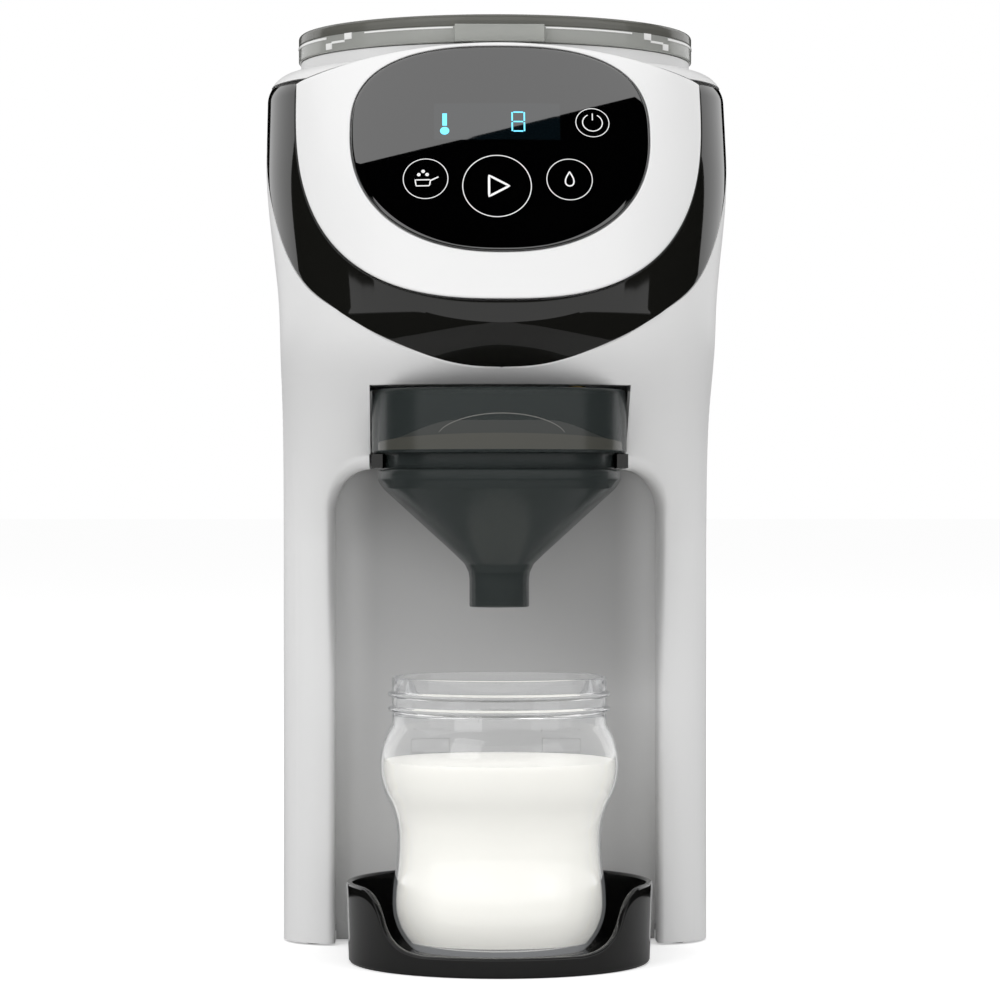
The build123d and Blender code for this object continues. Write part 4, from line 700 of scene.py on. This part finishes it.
def hoop(start, end, low, high, inner, outer):
    """Part of a ring about the lid's axis, angles in degrees from the front, with a rounded section."""
    section = rounded([(inner, low), (outer, low), (outer, high), (inner, high)], 0.15, 3)
    a = np.radians(np.linspace(start, end, max(6, int(abs(end - start) / 1.5))))
    rows = [np.stack([r * np.sin(a), POWDER_Y - r * np.cos(a), z + 0 * a], -1) for r, z in section]
    return np.array(rows), True, False


piece("lid_disc", "powder_lid", "clear_lid", [
    turned(POWDER_Y, lid_profile, 160), (knuckle_grid, True, True),
    bar((-9.4, 9.4), (HINGE_Y - 4.0, HINGE_Y - 1.0), (309.0, 312.8), 0.4)], ["powder_lid"])
piece("lid_rim", "powder_lid", "clear_lid", [turned(POWDER_Y, rim_profile, 160)], finish=LID_SMOKE)
piece("lid_tab", "powder_lid", "clear_lid", [
    bar((-15, 15), (POWDER_Y - 71.2, POWDER_Y - 68.6), (307.6, 313.4), 0.5)])
# steps in the lid's skirt, each from angle to angle and height to height, out to a radius; their pale opaque colour
# is a painted highlight
STEPPED = [(13, 41, 312.3, 312.9, 69.2), (46, 49, 311.0, 313.2, 69.25), (49, 55, 310.2, 311.0, 69.25),
           (55, 58, 308.4, 310.6, 69.25), (58, 88, 312.0, 312.8, 69.2)]
steps = [hoop(side * start, side * end, low, high, 68.8, out) for start, end, low, high, out in STEPPED
         for side in (-1, 1)]
piece("lid_steps", "powder_lid", "clear_lid", steps, finish=LID_PAINTED_HIGHLIGHT)

# ---------------------------------------------------------------- funnel
COLLAR_R, FUNNEL_BACK = 42.7, 43.0


def collar_loop(grow, corner=2.0):
    """Plan of the funnel's collar, moved outwards: half a circle in front, straight sides to the rear wall."""
    radius, back = COLLAR_R + grow, FUNNEL_BACK + grow
    t = np.linspace(-pi / 2, pi / 2, 73)
    front = np.stack([radius * np.sin(t), -radius * np.cos(t)], -1)
    rear = rounded([(radius, 0), (radius, back), (-radius, back), (-radius, 0)], [0, corner, corner, 0], 6)
    return np.vstack([front, rear[1:-1]]) + (0, DRINK_Y)


def stack(loop, levels):
    """Rows of a loop: each level is (grow, height)."""
    return np.array([np.insert(loop(grow), 2, z, axis=1) for grow, z in levels])


rim = [(-1 + np.cos(t), 190.2 + np.sin(t)) for t in np.linspace(0, pi, 11)]
levels = [(-0.6, 170.0), (0, 170.6), (0, 172.5)] + rim + [(-2, 189.5), (-2, 172.4), (-2.4, 172)]
neck = rounded([(38.6, 164.6), (38.6, 170.1), (36.6, 170.1), (36.6, 164.6)], 0.2)
shoulder = [(40.2, 170.0), (36.6, 170.0), (36.6, 172.0), (38.2, 172.0)]
piece("funnel_collar", "funnel", "smoke_clear", [
    (stack(collar_loop, levels), False, True), turned(DRINK_Y, shoulder), turned(DRINK_Y, neck)], ["funnel"])


def sight(low, high, x, over, name, tone):
    """Tinted patch on the collar's round front between two heights given over x, a hair proud of it."""
    rows = []
    for level, proud_by in ((low, -0.05), (low, over), (high, over), (high, -0.05)):
        radius = COLLAR_R + proud_by
        rows.append(np.stack([x, DRINK_Y - np.sqrt(radius**2 - x**2), level + 0 * x], -1))
    piece(name, "funnel", "smoke_clear", [(np.array(rows), True, False)], finish=tone)


SIGHT = moulded("sight_pale", (0.068, 0.068, 0.058), (0.062, 0.062, 0.054), 0.2, 0.04, 700.0, 0.0000005)
SIGHT_DIM = moulded("sight_dim", (0.044, 0.047, 0.044), (0.040, 0.043, 0.041), 0.2, 0.04, 700.0, 0.0000005)
SIGHT_LINE = moulded("sight_line", (0.16, 0.16, 0.15), (0.14, 0.14, 0.13), 0.2, 0.04, 700.0, 0.0000005)
x = np.linspace(-40.5, 40.5, 121)
rise = 180.4 - 7.0 * ease((np.abs(x) - 15) / 27)
sight(170.9 + 0 * x, rise, x, 0.03, "insert_sight", SIGHT_DIM)
sight(171.0 + 0 * x, 173.0 + 3.2 * np.sqrt(np.clip(1 - (x / 40.6) ** 2, 0, 1)), x, 0.05, "insert_ledge", SIGHT)
x = np.linspace(-20.4, 20.4, 61)
arch = 176.2 + 6.4 * np.sqrt(np.clip(1 - (x / 20.5) ** 2, 0, 1)) ** 1.3
sight(arch - 0.16, arch + 0.16, x, 0.06, "insert_arch", SIGHT_LINE)
cone = rounded([(36.6, 164.55), (40.7, 164.55), (40.7, 161), (38.9, 158.2), (15, 136.3), (11.6, 133), (10.3, 130.2),
                (10, 128), (10, 118.6), (8, 118.6), (8, 128), (8.3, 130.2), (9.6, 133), (13, 136.3), (36.9, 158.2),
                (36.6, 159.4)], [0.2, 0.8, 1.2, 1.2, 6, 2, 1, 1, 0.5, 0.5, 1, 1, 2, 6, 1, 0.4], 6)
piece("funnel_bowl", "funnel", "smoke_clear", [turned(DRINK_Y, cone)], ["funnel_cone"])

# ---------------------------------------------------------------- tray
# half of the scoop's edge in front: distance from the middle and height
SCOOP = [(26.0, 6.7), (31.2, 7.8), (36.2, 11.2), (39.1, 17.3), (41.2, 23.3), (44.5, 26.6), (48.0, 27.0)]
TRAY_T, TRAY_RIM, TRAY_FLOOR = 2.2, 27.0, 4.1


def tray_wall():
    """Tray: each radial section is foot, leaning wall, rounded rim and floor; the rim's height follows the scoop."""
    lip = through(SCOOP, 60)
    turns = np.arcsin(lip[:, 0] / 50.2)
    a = np.r_[np.linspace(0, turns[0], 30)[:-1], turns, np.linspace(turns[-1], pi, 60)[1:]]
    a = np.r_[a, 2 * pi - a[-2:0:-1]]
    rim = np.where(np.cos(a) > 0, np.interp(np.abs(50.2 * np.sin(a)), lip[:, 0], lip[:, 1]), TRAY_RIM)
    r = 0.9
    sections = [(0 * a, 0 * a), (49.2 + 0 * a, 0 * a), (49.9 + 0 * a, 0.3 + 0 * a)]
    for s in np.linspace(0, 1, 12):
        z = 1.0 + (rim - r - 1.0) * s
        sections.append((50.4 + 0.9 * (z - 1) / 26, z))
    top = 50.4 + 0.9 * (rim - r - 1) / 26
    for t in np.linspace(0, pi / 2, 7)[1:]:
        sections.append((top - r + r * np.cos(t), rim - r + r * np.sin(t)))
    for t in np.linspace(pi / 2, pi, 7):
        sections.append((top - TRAY_T + r + r * np.cos(t), rim - r + r * np.sin(t)))
    for s in np.linspace(0, 1, 10)[1:]:
        z = rim - r + (TRAY_FLOOR - rim + r) * s
        sections.append((top - TRAY_T - (top - 50.4) * s, z))
    sections.append((0 * a, TRAY_FLOOR + 0 * a))
    return np.array([np.stack([radius * np.sin(a), DRINK_Y - radius * np.cos(a), z], -1) for radius, z in sections])


piece("scooped_tray", "tray", "tray_black", [(tray_wall(), False, True)] + [
    bar((x - 7, x + 7), (-59.5, -39.0), (14.5, 19.5), 0.4) for x in (-24.0, 24.0)], ["bottle_tray"], sharp=28.0)

# ---------------------------------------------------------------- bottle and milk
# side of the bottle from the bottom up: centre (r, z) and radius of each arc, negative when hollow, and end angle
SIDE = [(15.6, 19.4, 20.1, 0), (-24.3, 19.4, 60.0, 7.84), (134.8, 41.3, -100.6, 0), (62.2, 41.3, -28.0, -27.3),
        (15.1, 65.6, 25.0, 0), (13.8, 65.6, 26.3, 32.4)]
BOTTLE_Z, BOTTLE_FLOOR, BOTTLE_RIM, MILK_Z = 4.4, 6.8, 95.4, 67.5


def bottle_side(inset, floor):
    """Side of the bottle as tangent arcs about listed centres, moved inwards; each arc turns to its end angle."""
    turn = np.degrees(np.arcsin((floor - SIDE[0][1]) / (SIDE[0][2] - inset)))
    parts = []
    for r, z, radius, end in SIDE:
        a = np.radians(np.linspace(turn, end, 15))
        parts.append(np.stack([r + (radius - inset) * np.cos(a), z + (radius - inset) * np.sin(a)], -1)[1:])
        turn = end
    return np.vstack(parts)


outside, inside = bottle_side(0, BOTTLE_Z), bottle_side(1.1, BOTTLE_FLOOR)
neck_x = outside[-1, 0]
thread = np.vstack([[(neck_x, z), (neck_x + 0.3, z + 0.15), (neck_x + 1.15, z + 0.55), (neck_x + 1.3, z + 0.8),
                     (neck_x + 1.3, z + 1.4), (neck_x + 1.15, z + 1.65), (neck_x + 0.3, z + 2.05), (neck_x, z + 2.2)]
                    for z in (83.5, 88.5)])
foot = rounded([(0, 4.8), (27.5, 4.8), (28.3, 4.4), (29, 4.45)], [0, 0.4, 0.3, 0])
rim = [(neck_x - 0.55 + 0.55 * np.cos(t), BOTTLE_RIM - 0.55 + 0.55 * np.sin(t)) for t in np.linspace(0, pi, 9)]
bottle_profile = np.vstack([foot, outside, thread, rim, inside[::-1], [(27.5, BOTTLE_FLOOR), (0, BOTTLE_FLOOR)]])
piece("clear_bottle", "bottle", "clear_bottle", [turned(DRINK_Y, bottle_profile, 160)], ["bottle"])
fill = bottle_side(1.2, BOTTLE_FLOOR + 0.15)
fill = fill[fill[:, 1] < MILK_Z - 0.3]
milk_profile = np.vstack([[(0, BOTTLE_FLOOR + 0.15), (26.5, BOTTLE_FLOOR + 0.15)], fill,
                          [(fill[-1, 0] - 0.1, MILK_Z - 0.1), (fill[-1, 0] - 0.6, MILK_Z), (0, MILK_Z)]])
piece("milk_fill", "bottle", "milk_white", [turned(DRINK_Y, milk_profile, 160)], ["milk"])

# ---------------------------------------------------------------- floor, light and camera
def staged(name, points, faces, material):
    """Mesh that belongs to the studio and not to the machine."""
    mesh = bpy.data.meshes.new(name)
    mesh.from_pydata(points, [], faces)
    made = bpy.data.objects.new(name, mesh)
    bpy.context.scene.collection.objects.link(made)
    mesh.materials.append(material)
    return made


floor = Finish("pale_floor", Roughness=0.6, Specular_IOR_Level=0.0)
seen = floor.node("ShaderNodeLightPath", output="Is Camera Ray")
mirrored = floor.node("ShaderNodeLightPath", output="Is Glossy Ray")
floor.set("Base Color", floor.between(mirrored, (0.9, 0.9, 0.9), (0.4, 0.4, 0.4)))
floor.set("Emission Color", floor.between(seen, (0.0, 0.0, 0.0), (1.0, 1.0, 1.0)))
floor.set("Emission Strength", 0.42)
staged("floor", [(-30, -30, 0), (30, -30, 0), (30, 30, 0), (-30, 30, 0)], [(0, 1, 2, 3)], floor.material)

flag_finish = Finish("black_flag", Base_Color=(0.0, 0.0, 0.0), Roughness=1.0, Specular_IOR_Level=0.0)


def flag(name, grid):
    """Black sheet that only mirror-like reflections see."""
    made = staged(name, grid.reshape(-1, 3), quads(*grid.shape[:2], False, False).tolist(), flag_finish.material)
    made.visible_camera = made.visible_diffuse = made.visible_transmission = made.visible_shadow = False
    made.visible_volume_scatter = False


DOME_R, DOME_MID = 3.0, (0, -0.1, 0.25)
EYE, EYE_TURN = (-0.029, -1.391, 0.1544), -1.30


def dome(azimuth, elevation):
    """Points of a sphere of 3 m about the head, angles in degrees, azimuth 0 in front."""
    a, e = np.radians(azimuth), np.radians(elevation)
    return DOME_R * np.stack([np.cos(e) * np.sin(a), -np.cos(e) * np.cos(a), np.sin(e)], -1) + DOME_MID


def mirrored_line():
    """Edge of the upper flag as (azimuth, elevation): where the eye sees the dome mirrored in the panel along the
    slanting line z = 275.95 + 0.2588 x + 0.00056 x^2."""
    x = np.linspace(-53, 53, 161)
    z = 275.95 + 0.2588 * x + 0.00056 * x**2
    here = face_at(x, z, PANEL_OUT)
    normal = np.cross(face_at(x + 0.05, z, PANEL_OUT) - face_at(x - 0.05, z, PANEL_OUT),
                      face_at(x, z + 0.05, PANEL_OUT) - face_at(x, z - 0.05, PANEL_OUT))
    normal /= np.linalg.norm(normal, axis=1)[:, None]
    view = here - np.array(EYE) / MM
    view /= np.linalg.norm(view, axis=1)[:, None]
    ray = view - 2 * (view * normal).sum(1)[:, None] * normal
    start, radius = here - np.array(DOME_MID) / MM, DOME_R / MM
    along = (start * ray).sum(1)
    meet = start + ray * (np.sqrt(along**2 - (start**2).sum(1) + radius**2) - along)[:, None]
    return np.degrees(np.arctan2(meet[:, 0], -meet[:, 1])), np.degrees(np.arcsin(meet[:, 2] / radius))


# flags: above the window in front, at its two sides, behind the machine and round it on the floor
WIDE, OPEN_TOP = 124.0, 32.0
edge_a, edge_e = mirrored_line()
a, v = np.meshgrid(np.linspace(-150, 150, 601), np.linspace(0, 1, 10))
flag_edge = np.maximum(np.interp(a, edge_a, edge_e), OPEN_TOP + 0.2)
flag("flag_top", dome(a, OPEN_TOP + (flag_edge - OPEN_TOP) * v))
e, v = np.meshgrid(np.linspace(-8, OPEN_TOP, 21), np.linspace(0, 1, 10))
opening = 66 + 16 * np.clip((19.2 - e) / 2.6, 0, 1)
for side in (-1, 1):
    flag("flag_side", dome(side * (opening + (WIDE - opening) * v), e))
a, v = np.meshgrid(np.linspace(158, 202, 23), np.linspace(-8, 45, 12))
flag("flag_back", dome(a, v))
a, r = np.meshgrid(np.linspace(0, 2 * pi, 73), np.linspace(0.2, 3.2, 4))
flag("flag_floor", np.stack([r * np.sin(a), -0.1 - r * np.cos(a), 0 * a + 0.001], -1))

# white world: full strength for what is seen directly, mirrored or through clear plastic, less as light
world = bpy.data.worlds.new("studio")
bpy.context.scene.world = world
world.use_nodes = True
sky = world.node_tree
rays = sky.nodes.new("ShaderNodeLightPath")
seen = rays.outputs["Is Camera Ray"]
for kind in ("Is Glossy Ray", "Is Transmission Ray"):
    either = sky.nodes.new("ShaderNodeMath")
    either.operation = "MAXIMUM"
    sky.links.new(seen, either.inputs[0])
    sky.links.new(rays.outputs[kind], either.inputs[1])
    seen = either.outputs[0]
strength = sky.nodes.new("ShaderNodeMapRange")
sky.links.new(seen, strength.inputs["Value"])
strength.inputs["To Min"].default_value, strength.inputs["To Max"].default_value = 0.62, 1.0
backdrop = sky.nodes["Background"]
backdrop.inputs["Color"].default_value = (1.0, 1.0, 1.0, 1.0)
sky.links.new(strength.outputs["Result"], backdrop.inputs["Strength"])


def lamp(name, place, aim, size, power):
    """Soft square lamp that looks at a point."""
    light = bpy.data.lights.new(name, "AREA")
    light.shape, light.size, light.energy = "SQUARE", size, power
    made = bpy.data.objects.new(name, light)
    made.location = place
    made.rotation_euler = (Vector(aim) - Vector(place)).to_track_quat("-Z", "Y").to_euler()
    made.visible_glossy = False
    bpy.context.scene.collection.objects.link(made)


lamp("key_left", (-1.6, -2.2, 1.6), (0, -0.05, 0.15), 1.6, 26)
lamp("fill_right", (2.2, -1.8, 1.0), (0, -0.05, 0.15), 1.6, 10)
lamp("top", (0.2, -0.3, 2.6), (0, 0, 0.1), 1.8, 14)

camera = bpy.data.cameras.new("camera")
camera.lens, camera.sensor_width = 138.5, 36.0
camera.clip_start, camera.clip_end = 0.05, 60.0
eye = bpy.data.objects.new("camera", camera)
eye.location = EYE
eye.rotation_euler = (radians(90), 0, radians(EYE_TURN))
bpy.context.scene.collection.objects.link(eye)
bpy.context.scene.camera = eye
bpy.context.scene.view_settings.view_transform = "Standard"
